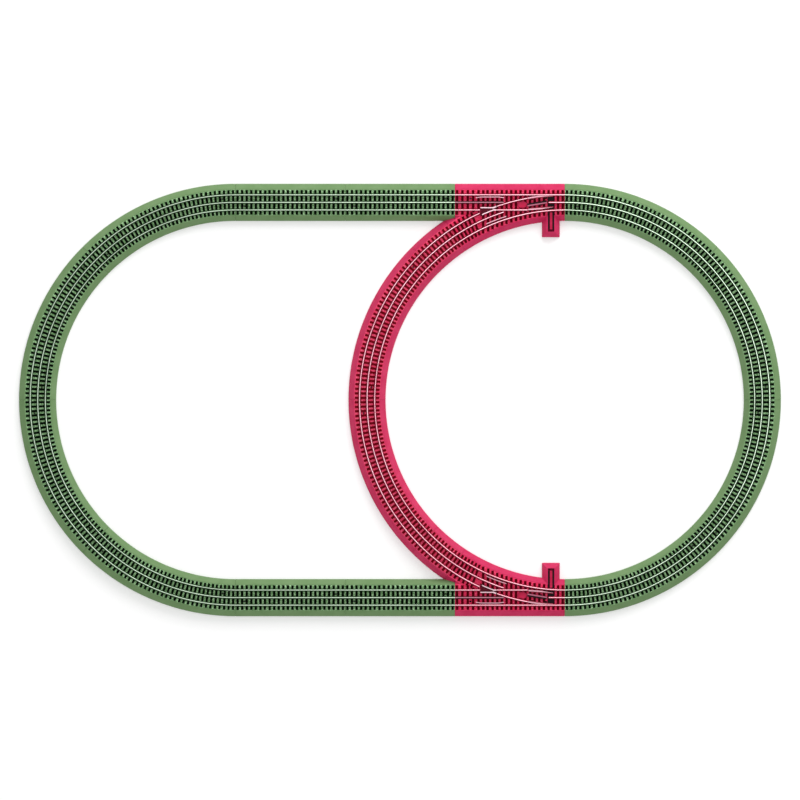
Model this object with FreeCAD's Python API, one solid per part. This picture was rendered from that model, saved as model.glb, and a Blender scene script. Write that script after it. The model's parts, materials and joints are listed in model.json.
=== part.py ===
"""Three-rail toy train track: an oval with an inner passing loop reached through two hand-thrown turnouts.

Millimetres, +Z up.  The origin is the centre of the layout on the surface that it lies on, +X runs along the
long straights.  Every section is a hollow moulded roadbed with its sleepers, carrying steel rails that are
held by bent tabs and joined end to end by steel pins.  A turnout adds a swivel frame with the moving
rails, a frog casting, guard rails and a hand-thrown slide.
"""
import FreeCAD
import Part
import math
import os
from FreeCAD import Vector

# ---- driving dimensions ----
CURVE_RADIUS = 457.2          # centre rail of every curve
STRAIGHT_LENGTH = 254.0
CURVE_ANGLE = 45.0
FITTER_ANGLE = 11.25          # short curve between a turnout and a full curve
TURNOUT_ANGLE = CURVE_ANGLE - FITTER_ANGLE
GAUGE = 31.75                 # between the heads of the two running rails

# roadbed cross-section
BED_WIDTH = 85.725
BED_TOP_WIDTH = 63.0
BED_HEIGHT = 17.0
BED_LIP = 2.5                 # upright edge at the foot of the shoulder
WALL = 2.0
RIB = 1.6

# sleepers
TIE_LENGTH = 57.0
TIE_RISE = 1.2
TIE_SINK = 0.5
TIES_PER_STRAIGHT = 24
TIES_PER_CURVE = 36
TIE_WIDTH = 5.6
TIE_WIDTH_CURVE = 5.3
TIE_PITCH = math.radians(CURVE_ANGLE / TIES_PER_CURVE) * CURVE_RADIUS     # along the centre of a curve

# rail
RAIL_HEIGHT = 7.2
HEAD_WIDTH = 3.2
HEAD_DEPTH = 2.6
HEAD_ROUND = 1.3
FOOT_WIDTH = 6.0
FOOT_EDGE = 0.8
FOOT_ROOT = 1.2
WEB = 1.4
RAIL_OFFSET = (GAUGE + HEAD_WIDTH) / 2
RAIL_Z = BED_HEIGHT + TIE_RISE
RAIL_TOP = RAIL_Z + RAIL_HEIGHT

# pins that join the rails
PIN_RADIUS = 0.75
PIN_HOLE_RADIUS = 0.85
PIN_LENGTH = 12.0
PIN_HOLE_DEPTH = 6.5
PIN_Z = RAIL_TOP - 1.3

# tabs that hold the rails, and the strap that joins the two running rails
TAB_LENGTH = 4.0
TAB_THICKNESS = 0.8
TAB_FLAP = 3.5
TAB_SLOT_ROOM = 0.4
TAB_GAP = 0.05
STRAP_WIDTH = 6.0
STRAP_THICKNESS = 0.5

# screw holes for a table top
SCREW_RADIUS = 2.1
BOSS_RADIUS = 4.2
SCREW_OFFSET = RAIL_OFFSET / 2

# tongue and slot that clip two roadbeds together
TONGUE_OFFSET = 20.0
TONGUE_WIDTH = 12.0
TONGUE_REACH = 7.0
TONGUE_LOW = 5.0
TONGUE_HIGH = 9.0
TONGUE_ROOM = 0.35
JOINT_GAP = 0.2               # between sections that lie side by side

# turnout: x is measured back from the entry end, which is at x = 0
POINT_HEEL = -85.0
POINT_TIP = -27.0
PIVOT = Vector(-98.0, -5.3, 0)
THROW_X = -31.5
THROW_TRAVEL = 4.7
SWING = math.degrees(math.asin(THROW_TRAVEL / (THROW_X - PIVOT.x)))
CENTRE_BLADE_HEEL = Vector(-86.0, -7.9, 0)     # with the turnout set for the loop
CENTRE_BLADE_TIP = Vector(-41.0, -0.5, 0)
BLADE_BAR_WIDTH = 3.6
TIES_ON_LOOP_LEG = 6
FROG_START = -158.0
FROG_END = -195.0
FROG_GAP = 0.8
WING_OFFSET = 5.2
WING_WIDTH = 2.4
FROG_PLATE = 1.6
TURNOUT_RIB_XS = (-123.0, -199.0)
NOSE_X = -173.5
NOSE_DROP = 1.0               # wheels cross the nose on their flanges, so it stands lower than the rails
FROG_ANGLE = 22.1
GUARD_OFFSET = 5.0            # from the straight stock rail
LOOP_GUARD_OFFSET = 6.2       # from the loop's stock rail
GUARD_WIDTH = 2.0
GUARD_START = -193.0
GUARD_END = -153.0
GUARD_FLARE = 8.0
GUARD_LEAD = 13.0
LOOP_GUARD_START = -135.0
LOOP_GUARD_END = -181.0
CENTRE_RAIL_ENTRY_END = -37.0
CENTRE_RAIL_RESTART = -141.0
CROSSING_GAP = 0.3
HOUSING_X = THROW_X - 0.6
HOUSING_WIDTH = 41.0
HOUSING_TOP_WIDTH = 20.0
HOUSING_REACH = 80.5          # from the straight centre line to the outer end of the slide housing
HOUSING_END_RUN = 11.5
SLOT_WIDTH = 14.8
SLOT_INNER = 14.2
SLOT_OUTER = -67.7
BLADE_Z = RAIL_Z + 1.2        # underside of the moving rails
BLADE_FOOT = 0.8
BLADE_CLEAR = 0.3
CAP_LOW = BED_HEIGHT + 0.15
CARRIER_LOW = 9.8
CARRIER_HIGH = 12.2
BAR_LOW = 12.6
BAR_STEP = 14.7
BAR_HIGH = 16.2
BAR_FLANGE_WIDTH = 16.0
BAR_WIDTH = 14.2
BAR_OUTER = -62.4
GRIP_WIDTH = 5.6
GRIP_HIGH = 20.0
GRIP_INNER = -23.0
GRIP_OUTER = BAR_OUTER + 0.2
GRIP_RIDGE = 1.2
GRIP_RIDGES = 14
PIVOT_RADIUS = 3.0
PIVOT_ROOM = 0.05
DRIVE_PIN_RADIUS = 1.5
POST_XS = (-44.3, -76.5)      # posts under the point blades
CENTRE_POST_XS = (-55.0, -76.5)
POST_LENGTH = 3.6
POST_WIDTH = 2.0
CARRIER_OUTLINE = ((-103.0, -11.0), (-80.0, -19.0), (-40.0, -19.0), (-27.0, -9.5), (-27.0, -1.5),
                   (-40.0, 11.0), (-62.0, 13.0), (-80.0, 8.0), (-103.0, 2.0))
RETAINER_Y = -26.0
RETAINER_LENGTH = 31.0
RETAINER_WIDTH = 11.0
RETAINER_TOP = 11.2
RETAINER_THICKNESS = 0.8
RETAINER_BOSS = 2.4
RETAINER_SCREW_SPREAD = 12.6
SPRING_LENGTH = 10.0
FAR = 200.0                   # reaches past the turnout in every direction

UP = Vector(0, 0, 1)
ORIGIN = Vector(0, 0, 0)


# ---- profiles, drawn in the XZ plane with u along X ----
def face_of(points):
    """A flat face from (u, z) corners."""
    corners = [Vector(u, 0, z) for u, z in points]
    return Part.Face(Part.makePolygon(corners + corners[:1]))


def bed_face():
    half, top = BED_WIDTH / 2, BED_TOP_WIDTH / 2
    left = [(-half, 0), (-half, BED_LIP), (-top, BED_HEIGHT)]
    return face_of(left + [(-u, z) for u, z in reversed(left)])


def cavity_points(base, top, lip, height):
    """Corners of the hollow under a trapezoid roadbed, WALL thick all round and open below."""
    run, rise = base - top, height - lip
    slope = math.hypot(run, rise)
    out, low = base - WALL * rise / slope, lip - WALL * run / slope
    ceiling = height - WALL
    inner_base = base - WALL
    inner_top = out - run * (ceiling - low) / rise
    inner_lip = low + (out - inner_base) * rise / run
    return [(-inner_base, -1), (-inner_base, inner_lip), (-inner_top, ceiling),
            (inner_top, ceiling), (inner_base, inner_lip), (inner_base, -1)]


def cavity_face():
    return face_of(cavity_points(BED_WIDTH / 2, BED_TOP_WIDTH / 2, BED_LIP, BED_HEIGHT))


def rail_face(offset=0.0):
    """Rail section: wide foot, thin web, and a tubular head with a narrow flat on top."""
    foot, web, head = FOOT_WIDTH / 2, WEB / 2, HEAD_WIDTH / 2
    top, under = RAIL_HEIGHT, RAIL_HEIGHT - HEAD_DEPTH
    right = [(foot, 0), (foot, FOOT_EDGE), (web, FOOT_ROOT), (web, under - 0.4), (head, under),
             (head, top - HEAD_ROUND)]

    def at(u, z):
        return Vector(offset + u, 0, RAIL_Z + z)

    def shoulder(side):
        mid = head - HEAD_ROUND * (1 - math.sqrt(0.5))
        rise = top - HEAD_ROUND * (1 - math.sqrt(0.5))
        return Part.Arc(at(side * head, top - HEAD_ROUND), at(side * mid, rise),
                        at(side * (head - HEAD_ROUND), top)).toShape()

    edges = [Part.makeLine(at(*a), at(*b)) for a, b in zip(right, right[1:])]
    edges.append(shoulder(1))
    edges.append(Part.makeLine(at(head - HEAD_ROUND, top), at(HEAD_ROUND - head, top)))
    edges.append(shoulder(-1))
    left = [(-u, z) for u, z in reversed(right)]
    edges += [Part.makeLine(at(*a), at(*b)) for a, b in zip(left, left[1:])]
    edges.append(Part.makeLine(at(-foot, 0), at(foot, 0)))
    return Part.Face(Part.Wire(Part.__sortEdges__(edges)))


def strip_face(offset, width, low, high):
    """A plain upright rectangle centred on offset."""
    return face_of([(offset - width / 2, low), (offset - width / 2, high),
                    (offset + width / 2, high), (offset + width / 2, low)])


# ---- routes: a route sweeps a profile and gives frames along its centre line ----
class Straight:
    """A straight route along +X from x0, at height y."""

    def __init__(self, x0, y, length):
        self.x0, self.y, self.length = x0, y, length

    def sweep(self, face, s0, s1):
        turned = face.copy()
        turned.rotate(ORIGIN, UP, 90)
        turned.translate(Vector(self.x0 + s0, self.y, 0))
        return turned.extrude(Vector(s1 - s0, 0, 0))

    def frame(self, s):
        return Vector(self.x0 + s, self.y, 0), 0.0


class Curve:
    """A route round centre, anticlockwise from start to end degrees.  Left of travel is the inside."""

    def __init__(self, centre, start, end):
        self.centre, self.start, self.end = centre, start, end
        self.length = math.radians(end - start) * CURVE_RADIUS

    def sweep(self, face, s0, s1):
        mirrored = face.mirror(ORIGIN, Vector(1, 0, 0))
        mirrored.translate(Vector(CURVE_RADIUS, 0, 0))
        mirrored.rotate(ORIGIN, UP, self.start + math.degrees(s0 / CURVE_RADIUS))
        solid = mirrored.revolve(ORIGIN, UP, math.degrees((s1 - s0) / CURVE_RADIUS))
        solid.translate(self.centre)
        return solid

    def frame(self, s):
        angle = self.start + math.degrees(s / CURVE_RADIUS)
        radial = Vector(math.cos(math.radians(angle)), math.sin(math.radians(angle)), 0)
        return self.centre + radial * CURVE_RADIUS, angle + 90


def block(route, s, u, along, across, low, high):
    """A box centred at distance s along the route and u to its left, turned with the route."""
    point, heading = route.frame(s)
    box = Part.makeBox(along, across, high - low, Vector(-along / 2, u - across / 2, low))
    box.rotate(ORIGIN, UP, heading)
    box.translate(point)
    return box


def post(route, s, u, radius, low, high):
    """An upright cylinder at distance s along the route and u to its left."""
    point, heading = route.frame(s)
    spot = Vector(0, u, low)
    cylinder = Part.makeCylinder(radius, high - low, spot)
    cylinder.rotate(ORIGIN, UP, heading)
    cylinder.translate(point)
    return cylinder


def rod(route, s, u, radius, length, z):
    """A cylinder centred at distance s along the route, lying along its tangent."""
    point, heading = route.frame(s)
    cylinder = Part.makeCylinder(radius, length, Vector(-length / 2, u, z), Vector(1, 0, 0))
    cylinder.rotate(ORIGIN, UP, heading)
    cylinder.translate(point)
    return cylinder


# ---- plain sections ----
def joint_tongue(route, s, outward, hand=1):
    """The tongue that reaches past the end at s; outward is +1 at the far end and -1 at the near end."""
    along = TONGUE_REACH + WALL
    return block(route, s + outward * (TONGUE_REACH - WALL) / 2, -outward * hand * TONGUE_OFFSET,
                 along, TONGUE_WIDTH, TONGUE_LOW, TONGUE_HIGH)


def joint_slot(route, s, outward, hand=1):
    """The opening beside it for the tongue of the next section."""
    return block(route, s - outward * WALL / 2, outward * hand * TONGUE_OFFSET, WALL + 1,
                 TONGUE_WIDTH + 2 * TONGUE_ROOM, TONGUE_LOW - TONGUE_ROOM, TONGUE_HIGH + TONGUE_ROOM)


def tie_stations(route, count):
    pitch = route.length / count
    return [(i + 0.5) * pitch for i in range(count)]


def tab_stations(route, count):
    """Distances of the rail tabs, all in gaps between sleepers: (running rails, centre rail)."""
    pitch = route.length / count
    outer = [max(1, round(count * share)) * pitch for share in (0.2, 0.8)]
    inner = [max(1, round(count * share)) * pitch for share in (0.4, 0.6)]
    return outer, inner


def rail_tabs(route, count):
    """(distance, offset) of every rail tab in a plain section."""
    outer, inner = tab_stations(route, count)
    spots = [(s, side * RAIL_OFFSET) for s in outer for side in (-1, 1)]
    return spots + [(s, 0.0) for s in inner]


def tab_slots(route, spots):
    return [block(route, s, u, TAB_LENGTH + TAB_SLOT_ROOM, TAB_THICKNESS + TAB_SLOT_ROOM,
                  BED_HEIGHT - WALL - 1, RAIL_TOP) for s, u in spots]


def tab_shapes(route, s, u):
    """The upright tab through the roadbed and its flap bent flat under it."""
    under = BED_HEIGHT - WALL - TAB_GAP
    upright = block(route, s, u, TAB_LENGTH, TAB_THICKNESS, under - TAB_THICKNESS, RAIL_Z + FOOT_EDGE / 2)
    flap = block(route, s, u + TAB_FLAP / 2 - TAB_THICKNESS / 2, TAB_LENGTH, TAB_FLAP,
                 under - TAB_THICKNESS, under)
    return [upright, flap]


def hollow(route, cells):
    """The hollows under a section, one per cell, with ribs between them and a wall at each end."""
    face = cavity_face()
    step = (route.length - 2 * WALL + RIB) / cells
    return [route.sweep(face, WALL + i * step, WALL + (i + 1) * step - RIB) for i in range(cells)]


def screw_spots(route, count, gaps):
    """Screw holes: right of travel near the start and left of travel near the end."""
    pitch = route.length / count
    return [(gaps * pitch, -SCREW_OFFSET), (route.length - gaps * pitch, SCREW_OFFSET)]


def roadbed(route, ties, tie_width, cells, screws):
    shell = route.sweep(bed_face(), 0, route.length).cut(hollow(route, cells))
    sleepers = [block(route, s, 0, tie_width, TIE_LENGTH, BED_HEIGHT - TIE_SINK, RAIL_Z)
                for s in tie_stations(route, ties)]
    bosses = [post(route, s, u, BOSS_RADIUS, 0, BED_HEIGHT - WALL / 2) for s, u in screws]
    tongues = [joint_tongue(route, 0, -1), joint_tongue(route, route.length, 1)]
    shell = shell.fuse(sleepers + bosses + tongues)
    holes = [post(route, s, u, SCREW_RADIUS, -1, RAIL_TOP) for s, u in screws]
    slots = [joint_slot(route, 0, -1), joint_slot(route, route.length, 1)]
    return shell.cut(holes + slots + tab_slots(route, rail_tabs(route, ties))).removeSplitter()


def plain_rails(route, ties):
    """Three rails, each with its tabs and a pin hole in both ends."""
    outer, inner = tab_stations(route, ties)
    rails = []
    for u in (-RAIL_OFFSET, 0.0, RAIL_OFFSET):
        tabs = [shape for s in (outer if u else inner) for shape in tab_shapes(route, s, u)]
        rail = route.sweep(rail_face(u), 0, route.length).fuse(tabs)
        holes = [rod(route, s, u, PIN_HOLE_RADIUS, 2 * PIN_HOLE_DEPTH, PIN_Z) for s in (0, route.length)]
        rails.append(rail.cut(holes).removeSplitter())
    return rails


def joint_pins(route, s):
    return [rod(route, s, u, PIN_RADIUS, PIN_LENGTH, PIN_Z) for u in (-RAIL_OFFSET, 0.0, RAIL_OFFSET)]


def bus_strap(route, ties):
    """The strap under the roadbed that joins the two running rails."""
    top = BED_HEIGHT - WALL - TAB_GAP - TAB_THICKNESS
    return block(route, tab_stations(route, ties)[0][0], TAB_FLAP / 2, STRAP_WIDTH,
                 2 * RAIL_OFFSET + TAB_FLAP, top - STRAP_THICKNESS, top)


# ---- turnout, drawn with its entry end at the origin and its straight route towards -X ----
MAIN = Straight(-STRAIGHT_LENGTH, 0, STRAIGHT_LENGTH)
LOOP_CENTRE = Vector(0, -CURVE_RADIUS, 0)
LOOP = Curve(LOOP_CENTRE, 90, 90 + TURNOUT_ANGLE)


def between(x0, x1):
    """Everything from x0 to x1."""
    return slab(x0, x1, -FAR, FAR, -FAR, FAR)


def beside(u, side):
    """A wide upright face that starts at u and lies to one side of it."""
    return strip_face(u + side * TIE_LENGTH / 2, TIE_LENGTH, 0, 2 * RAIL_TOP)


def loop_distance(x, u):
    """Distance along the loop route of the point at x on the line u to its left."""
    angle = math.asin(-x / (CURVE_RADIUS - u))
    return angle * CURVE_RADIUS


def loop_y(x, u):
    """Y of the line u to the left of the loop route, at x."""
    radius = CURVE_RADIUS - u
    return LOOP_CENTRE.y + math.sqrt(radius ** 2 - x ** 2)


def slab(x0, x1, y0, y1, z0, z1):
    return Part.makeBox(x1 - x0, y1 - y0, z1 - z0, Vector(x0, y0, z0))


def turned(shape, degrees):
    """A copy turned about the pivot of the swivel frame."""
    copy = shape.copy()
    copy.rotate(PIVOT, UP, degrees)
    return copy


def housing_solid(base, top, reach, end_run, lip, height, low):
    """The raised box over the slide: a trapezoid prism whose outer end slopes too."""
    across = face_of([(-base, low), (-base, lip), (-top, height), (top, height), (base, lip), (base, low)])
    across.translate(Vector(HOUSING_X, 0, 0))
    prism = across.extrude(Vector(0, -reach, 0))
    corners = [Vector(0, 0, low), Vector(0, -reach, low), Vector(0, -reach, lip),
               Vector(0, -reach + end_run, height), Vector(0, 0, height)]
    side = Part.Face(Part.makePolygon(corners + corners[:1]))
    side.translate(Vector(HOUSING_X - base, 0, 0))
    return prism.common(side.extrude(Vector(2 * base, 0, 0)))


def turnout_outer():
    whole = MAIN.sweep(bed_face(), 0, MAIN.length)
    whole = whole.fuse([LOOP.sweep(bed_face(), 0, LOOP.length),
                        housing_solid(HOUSING_WIDTH / 2, HOUSING_TOP_WIDTH / 2, HOUSING_REACH,
                                      HOUSING_END_RUN, BED_LIP, BED_HEIGHT, 0)])
    return whole.cut(neighbour_room())


def neighbour_room():
    """Room for the shoulder of the straight section that follows the turnout."""
    return slab(-STRAIGHT_LENGTH - FAR, -STRAIGHT_LENGTH, -BED_WIDTH / 2 - JOINT_GAP, BED_WIDTH, -1, RAIL_TOP)


def turnout_hollow():
    run = (HOUSING_WIDTH - HOUSING_TOP_WIDTH) / 2
    corners = cavity_points(HOUSING_WIDTH / 2, HOUSING_WIDTH / 2 - run, BED_LIP, BED_HEIGHT)
    inner_base, inner_top, inner_lip, ceiling = corners[4][0], corners[3][0], corners[4][1], corners[3][1]
    room = housing_solid(inner_base, inner_top, HOUSING_REACH - WALL, HOUSING_END_RUN, inner_lip, ceiling, -1)
    hollows = MAIN.sweep(cavity_face(), WALL, MAIN.length - WALL)
    hollows = hollows.fuse([LOOP.sweep(cavity_face(), WALL, LOOP.length - WALL), room])
    keep_in = slab(-STRAIGHT_LENGTH - FAR, -STRAIGHT_LENGTH + WALL,
                   -BED_WIDTH / 2 - JOINT_GAP - WALL, BED_WIDTH, -2, RAIL_TOP)
    ribs = [between(x, x + RIB) for x in TURNOUT_RIB_XS]
    return hollows.cut([keep_in] + ribs)


def turnout_tie_xs():
    """Sleeper centres of the straight route: five at a wide pitch at the frog end, then a closer pitch."""
    wide, close, first = 12.45, 10.82, 4.9
    xs = [first + wide * i for i in range(5)]
    xs += [xs[-1] + close * (i + 1) for i in range(18)]
    return [x - STRAIGHT_LENGTH for x in xs]


def turnout_ties():
    half, low = TIE_LENGTH / 2, BED_HEIGHT - TIE_SINK
    sleepers = []
    for x in turnout_tie_xs():
        if x > FROG_END:
            bottom = loop_y(x, half)
        else:
            bottom = max(-half, loop_y(x, -half + 3))
        sleepers.append(slab(x - TIE_WIDTH / 2, x + TIE_WIDTH / 2, bottom, half, low, RAIL_Z))
    pitch = CURVE_ANGLE / TIES_PER_CURVE
    for i in range(TIES_ON_LOOP_LEG):
        angle = TURNOUT_ANGLE - pitch * (i + 0.5)
        lean = angle - 0.9 * (TURNOUT_ANGLE - angle)
        spot = math.radians(angle)
        corner = Vector(-TIE_WIDTH_CURVE / 2, -half, low)
        tie = Part.makeBox(TIE_WIDTH_CURVE, TIE_LENGTH, RAIL_Z - low, corner)
        tie.rotate(ORIGIN, UP, lean)
        tie.translate(LOOP_CENTRE + Vector(-math.sin(spot), math.cos(spot), 0) * CURVE_RADIUS)
        sleepers.append(tie)
    return sleepers


def blade_post(x, y):
    return slab(x - POST_LENGTH / 2, x + POST_LENGTH / 2, y - POST_WIDTH / 2, y + POST_WIDTH / 2,
                CARRIER_HIGH - 1, BLADE_Z)


def blade_posts():
    """Posts of the swivel frame that carry the moving rails, with the turnout set for the loop."""
    inner = HEAD_WIDTH / 2 + 0.6
    posts = []
    for x in POST_XS:
        posts.append(blade_post(x, loop_y(x, -RAIL_OFFSET) - inner))
        posts.append(turned(blade_post(x, -RAIL_OFFSET + inner), SWING))
    for x in CENTRE_POST_XS:
        share = (x - CENTRE_BLADE_HEEL.x) / (CENTRE_BLADE_TIP.x - CENTRE_BLADE_HEEL.x)
        posts.append(blade_post(x, CENTRE_BLADE_HEEL.y + share * (CENTRE_BLADE_TIP.y - CENTRE_BLADE_HEEL.y)))
    return posts


def post_slots():
    """Openings in the roadbed that let the posts swing from one route to the other."""
    room, slots = 0.5, []
    for shape in blade_posts():
        ends = [shape.BoundBox, turned(shape, -SWING).BoundBox]
        slots.append(slab(min(b.XMin for b in ends) - room, max(b.XMax for b in ends) + room,
                          min(b.YMin for b in ends) - room, max(b.YMax for b in ends) + room,
                          BED_HEIGHT - WALL - 1, RAIL_TOP))
    return slots


def oval_cap(growth, low, high):
    """The oval cap over the pivot, grown all round by growth."""
    half_long, radius = 3.0, 7.0 + growth
    body = slab(PIVOT.x - half_long, PIVOT.x + half_long, PIVOT.y - radius, PIVOT.y + radius, low, high)
    ends = [Part.makeCylinder(radius, high - low, Vector(PIVOT.x + side * half_long, PIVOT.y, low))
            for side in (-1, 1)]
    return body.fuse(ends).removeSplitter()


def turnout_screw():
    xs = turnout_tie_xs()
    return (xs[2] + xs[3]) / 2, SCREW_OFFSET


def retainer_screw_spots():
    return [Vector(THROW_X + side * RETAINER_SCREW_SPREAD, RETAINER_Y, 0) for side in (-1, 1)]


def turnout_roadbed(hand):
    """The roadbed; hand is -1 for the one that will be mirrored, so that its tongues still fit the others."""
    bed = turnout_outer().cut(turnout_hollow())
    bed = bed.fuse(turnout_ties())
    x, y = turnout_screw()
    ends = [(MAIN, 0, -1), (MAIN, MAIN.length, 1), (LOOP, LOOP.length, 1)]
    bosses = [Part.makeCylinder(BOSS_RADIUS, BED_HEIGHT - 1, Vector(x, y, 0))]
    bosses += [Part.makeCylinder(RETAINER_BOSS, BED_HEIGHT - 1 - RETAINER_TOP, spot + UP * RETAINER_TOP)
               for spot in retainer_screw_spots()]
    bed = bed.fuse(bosses + [joint_tongue(*end, hand) for end in ends])
    cuts = [joint_slot(*end, hand) for end in ends]
    cuts.append(Part.makeCylinder(SCREW_RADIUS, RAIL_TOP + 1, Vector(x, y, -1)))
    cuts.append(slab(THROW_X - SLOT_WIDTH / 2, THROW_X + SLOT_WIDTH / 2, SLOT_OUTER, SLOT_INNER,
                     BED_HEIGHT - WALL - 1, RAIL_TOP))
    cuts.append(Part.makeCylinder(PIVOT_RADIUS + PIVOT_ROOM, WALL + 2, PIVOT + UP * (BED_HEIGHT - WALL - 1)))
    cuts.append(oval_cap(0.7, BED_HEIGHT, RAIL_TOP))
    cuts += [Part.makeCylinder(1.0, 3.4, spot + UP * (RETAINER_TOP - 1)) for spot in retainer_screw_spots()]
    cuts += post_slots()
    cuts.append(frog_plate())
    return bed.cut(cuts).cut(turnout_tab_slots()).removeSplitter()


def turnout_tab_spots():
    """Rail tabs of the turnout as (route, distance, offset, rail name)."""
    xs = turnout_tie_xs()

    def gap(i):
        return (xs[i] + xs[i + 1]) / 2

    def main(x):
        return x + STRAIGHT_LENGTH

    spots = [(MAIN, main(gap(i)), RAIL_OFFSET, "stock_main") for i in (3, 15)]
    spots += [(LOOP, loop_distance(gap(15), RAIL_OFFSET), RAIL_OFFSET, "stock_loop")]
    spots += [(LOOP, LOOP.length - 2 * TIE_PITCH, RAIL_OFFSET, "stock_loop")]
    spots += [(MAIN, main(gap(11)), -RAIL_OFFSET, "closure_main"),
              (LOOP, loop_distance(gap(11), -RAIL_OFFSET), -RAIL_OFFSET, "closure_loop"),
              (MAIN, main(gap(1)), -RAIL_OFFSET, "exit_main"),
              (LOOP, LOOP.length - 2 * TIE_PITCH, -RAIL_OFFSET, "exit_loop"),
              (MAIN, main(gap(21)), 0.0, "centre_entry"),
              (MAIN, main(gap(2)), 0.0, "centre_main"),
              (LOOP, LOOP.length - TIE_PITCH, 0.0, "centre_loop")]
    return spots


def turnout_tab_slots():
    return [tab_slots(route, [(s, u)])[0] for route, s, u, _ in turnout_tab_spots()]


def turnout_rail(name, route, u, s0, s1):
    """One fixed rail with its tabs, and a pin hole where it ends at the end of the turnout."""
    tabs = [shape for r, s, v, owner in turnout_tab_spots() if owner == name for shape in tab_shapes(r, s, v)]
    rail = route.sweep(rail_face(u), s0, s1).fuse(tabs)
    ends = [s for s in (s0, s1) if abs(s) < 1e-6 or abs(s - route.length) < 1e-6]
    holes = [rod(route, s, u, PIN_HOLE_RADIUS, 2 * PIN_HOLE_DEPTH, PIN_Z) for s in ends]
    return rail.cut(holes).removeSplitter()


def running_rails():
    """Two stock rails, two closure rails and two exit rails."""
    side, length = RAIL_OFFSET, STRAIGHT_LENGTH
    heel, start, end = POINT_HEEL - FROG_GAP, FROG_START + FROG_GAP, FROG_END - FROG_GAP
    skew = FOOT_WIDTH / 2 * math.tan(math.radians(FROG_ANGLE))
    return [turnout_rail("stock_main", MAIN, side, 0, length),
            turnout_rail("stock_loop", LOOP, side, 0, LOOP.length),
            turnout_rail("closure_main", MAIN, -side, start + length, heel + length),
            turnout_rail("closure_loop", LOOP, -side, loop_distance(heel, -side),
                         loop_distance(start + skew, -side)),
            turnout_rail("exit_main", MAIN, -side, 0, end + length),
            turnout_rail("exit_loop", LOOP, -side, loop_distance(end - skew, -side), LOOP.length)]


def centre_rails():
    """The three fixed stretches of centre rail, cut back where a running rail crosses them."""
    side, length, room = RAIL_OFFSET, STRAIGHT_LENGTH, FOOT_WIDTH + 2 * CROSSING_GAP
    closure_loop = LOOP.sweep(strip_face(-side, room, RAIL_Z - 1, RAIL_TOP + 1), 0, LOOP.length)
    closure_main = MAIN.sweep(strip_face(-side, room, RAIL_Z - 1, RAIL_TOP + 1), 0, length)
    entry = turnout_rail("centre_entry", MAIN, 0.0, CENTRE_RAIL_ENTRY_END + length, length)
    main = turnout_rail("centre_main", MAIN, 0.0, 0, CENTRE_RAIL_RESTART + length)
    loop = turnout_rail("centre_loop", LOOP, 0.0, loop_distance(CENTRE_RAIL_RESTART, 0), LOOP.length)
    return [entry, main.cut(closure_loop), loop.cut(closure_main)]


def guard_rails():
    """A check rail beside each stock rail, opposite the frog, with flared ends on the straight one."""
    u = RAIL_OFFSET - GUARD_OFFSET
    main = slab(GUARD_START, GUARD_END, u - GUARD_WIDTH / 2, u + GUARD_WIDTH / 2, RAIL_Z, RAIL_TOP)
    for x, turn in ((GUARD_START, GUARD_FLARE), (GUARD_END, 180 - GUARD_FLARE)):
        wing = Part.makeBox(GUARD_LEAD, GUARD_WIDTH, RAIL_HEIGHT, Vector(0, -GUARD_WIDTH / 2, RAIL_Z))
        wing.rotate(ORIGIN, UP, 180 + turn)
        wing.translate(Vector(x, u, 0))
        main = main.fuse(wing)
    v = RAIL_OFFSET - LOOP_GUARD_OFFSET
    loop_guard = LOOP.sweep(strip_face(v, GUARD_WIDTH, RAIL_Z, RAIL_TOP),
                            loop_distance(LOOP_GUARD_START, v), loop_distance(LOOP_GUARD_END, v))
    return [main.removeSplitter(), loop_guard]


def strips(offset_main, offset_loop, width, low, high):
    """A strip along each route, both cut to the length of the frog."""
    band = between(FROG_END, FROG_START)
    main = MAIN.sweep(strip_face(offset_main, width, low, high), 0, STRAIGHT_LENGTH)
    loop = LOOP.sweep(strip_face(offset_loop, width, low, high), 0, LOOP.length)
    return main.common(band), loop.common(band)


def frog_plate():
    side = RAIL_OFFSET
    wide = WING_OFFSET + 4.4
    middle = -side + WING_OFFSET / 2
    main, loop = strips(middle, middle, wide, BED_HEIGHT, BED_HEIGHT + FROG_PLATE)
    return main.fuse(loop).removeSplitter()


def frog():
    """The frog casting: base plate, nose and the two wing rails."""
    side, half, low = RAIL_OFFSET, HEAD_WIDTH / 2, BED_HEIGHT + FROG_PLATE - 0.4
    main, loop = strips(-side, -side, HEAD_WIDTH, low, RAIL_TOP)
    nose_main, nose_loop = strips(-side, -side, HEAD_WIDTH, low, RAIL_TOP - NOSE_DROP)
    gauge_main = slab(FROG_END, FROG_START, -FAR, -side + half, 0, 2 * RAIL_TOP)
    gauge_loop = LOOP.sweep(beside(-side + half, -1), 0, LOOP.length)
    nose = nose_main.fuse(nose_loop).common(gauge_main).common(gauge_loop).common(between(FROG_END, NOSE_X))
    wing_main, wing_loop = strips(-side + WING_OFFSET, -side + WING_OFFSET, WING_WIDTH, low, RAIL_TOP)
    bend_main = -math.sqrt((CURVE_RADIUS + side) ** 2 - (CURVE_RADIUS - side + WING_OFFSET) ** 2)
    bend_loop = -math.sqrt((CURVE_RADIUS + side - WING_OFFSET) ** 2 - (CURVE_RADIUS - side) ** 2)
    wing_main = wing_main.common(between(FROG_END, bend_main + 1))
    wing_loop = wing_loop.common(between(FROG_END + 4, bend_loop + 1))
    throat_loop = loop.common(between(bend_main - 1, FROG_START))
    throat_main = main.common(between(bend_loop - 1, FROG_START))
    return frog_plate().fuse([nose, wing_main, wing_loop, throat_loop, throat_main]).removeSplitter()


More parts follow.
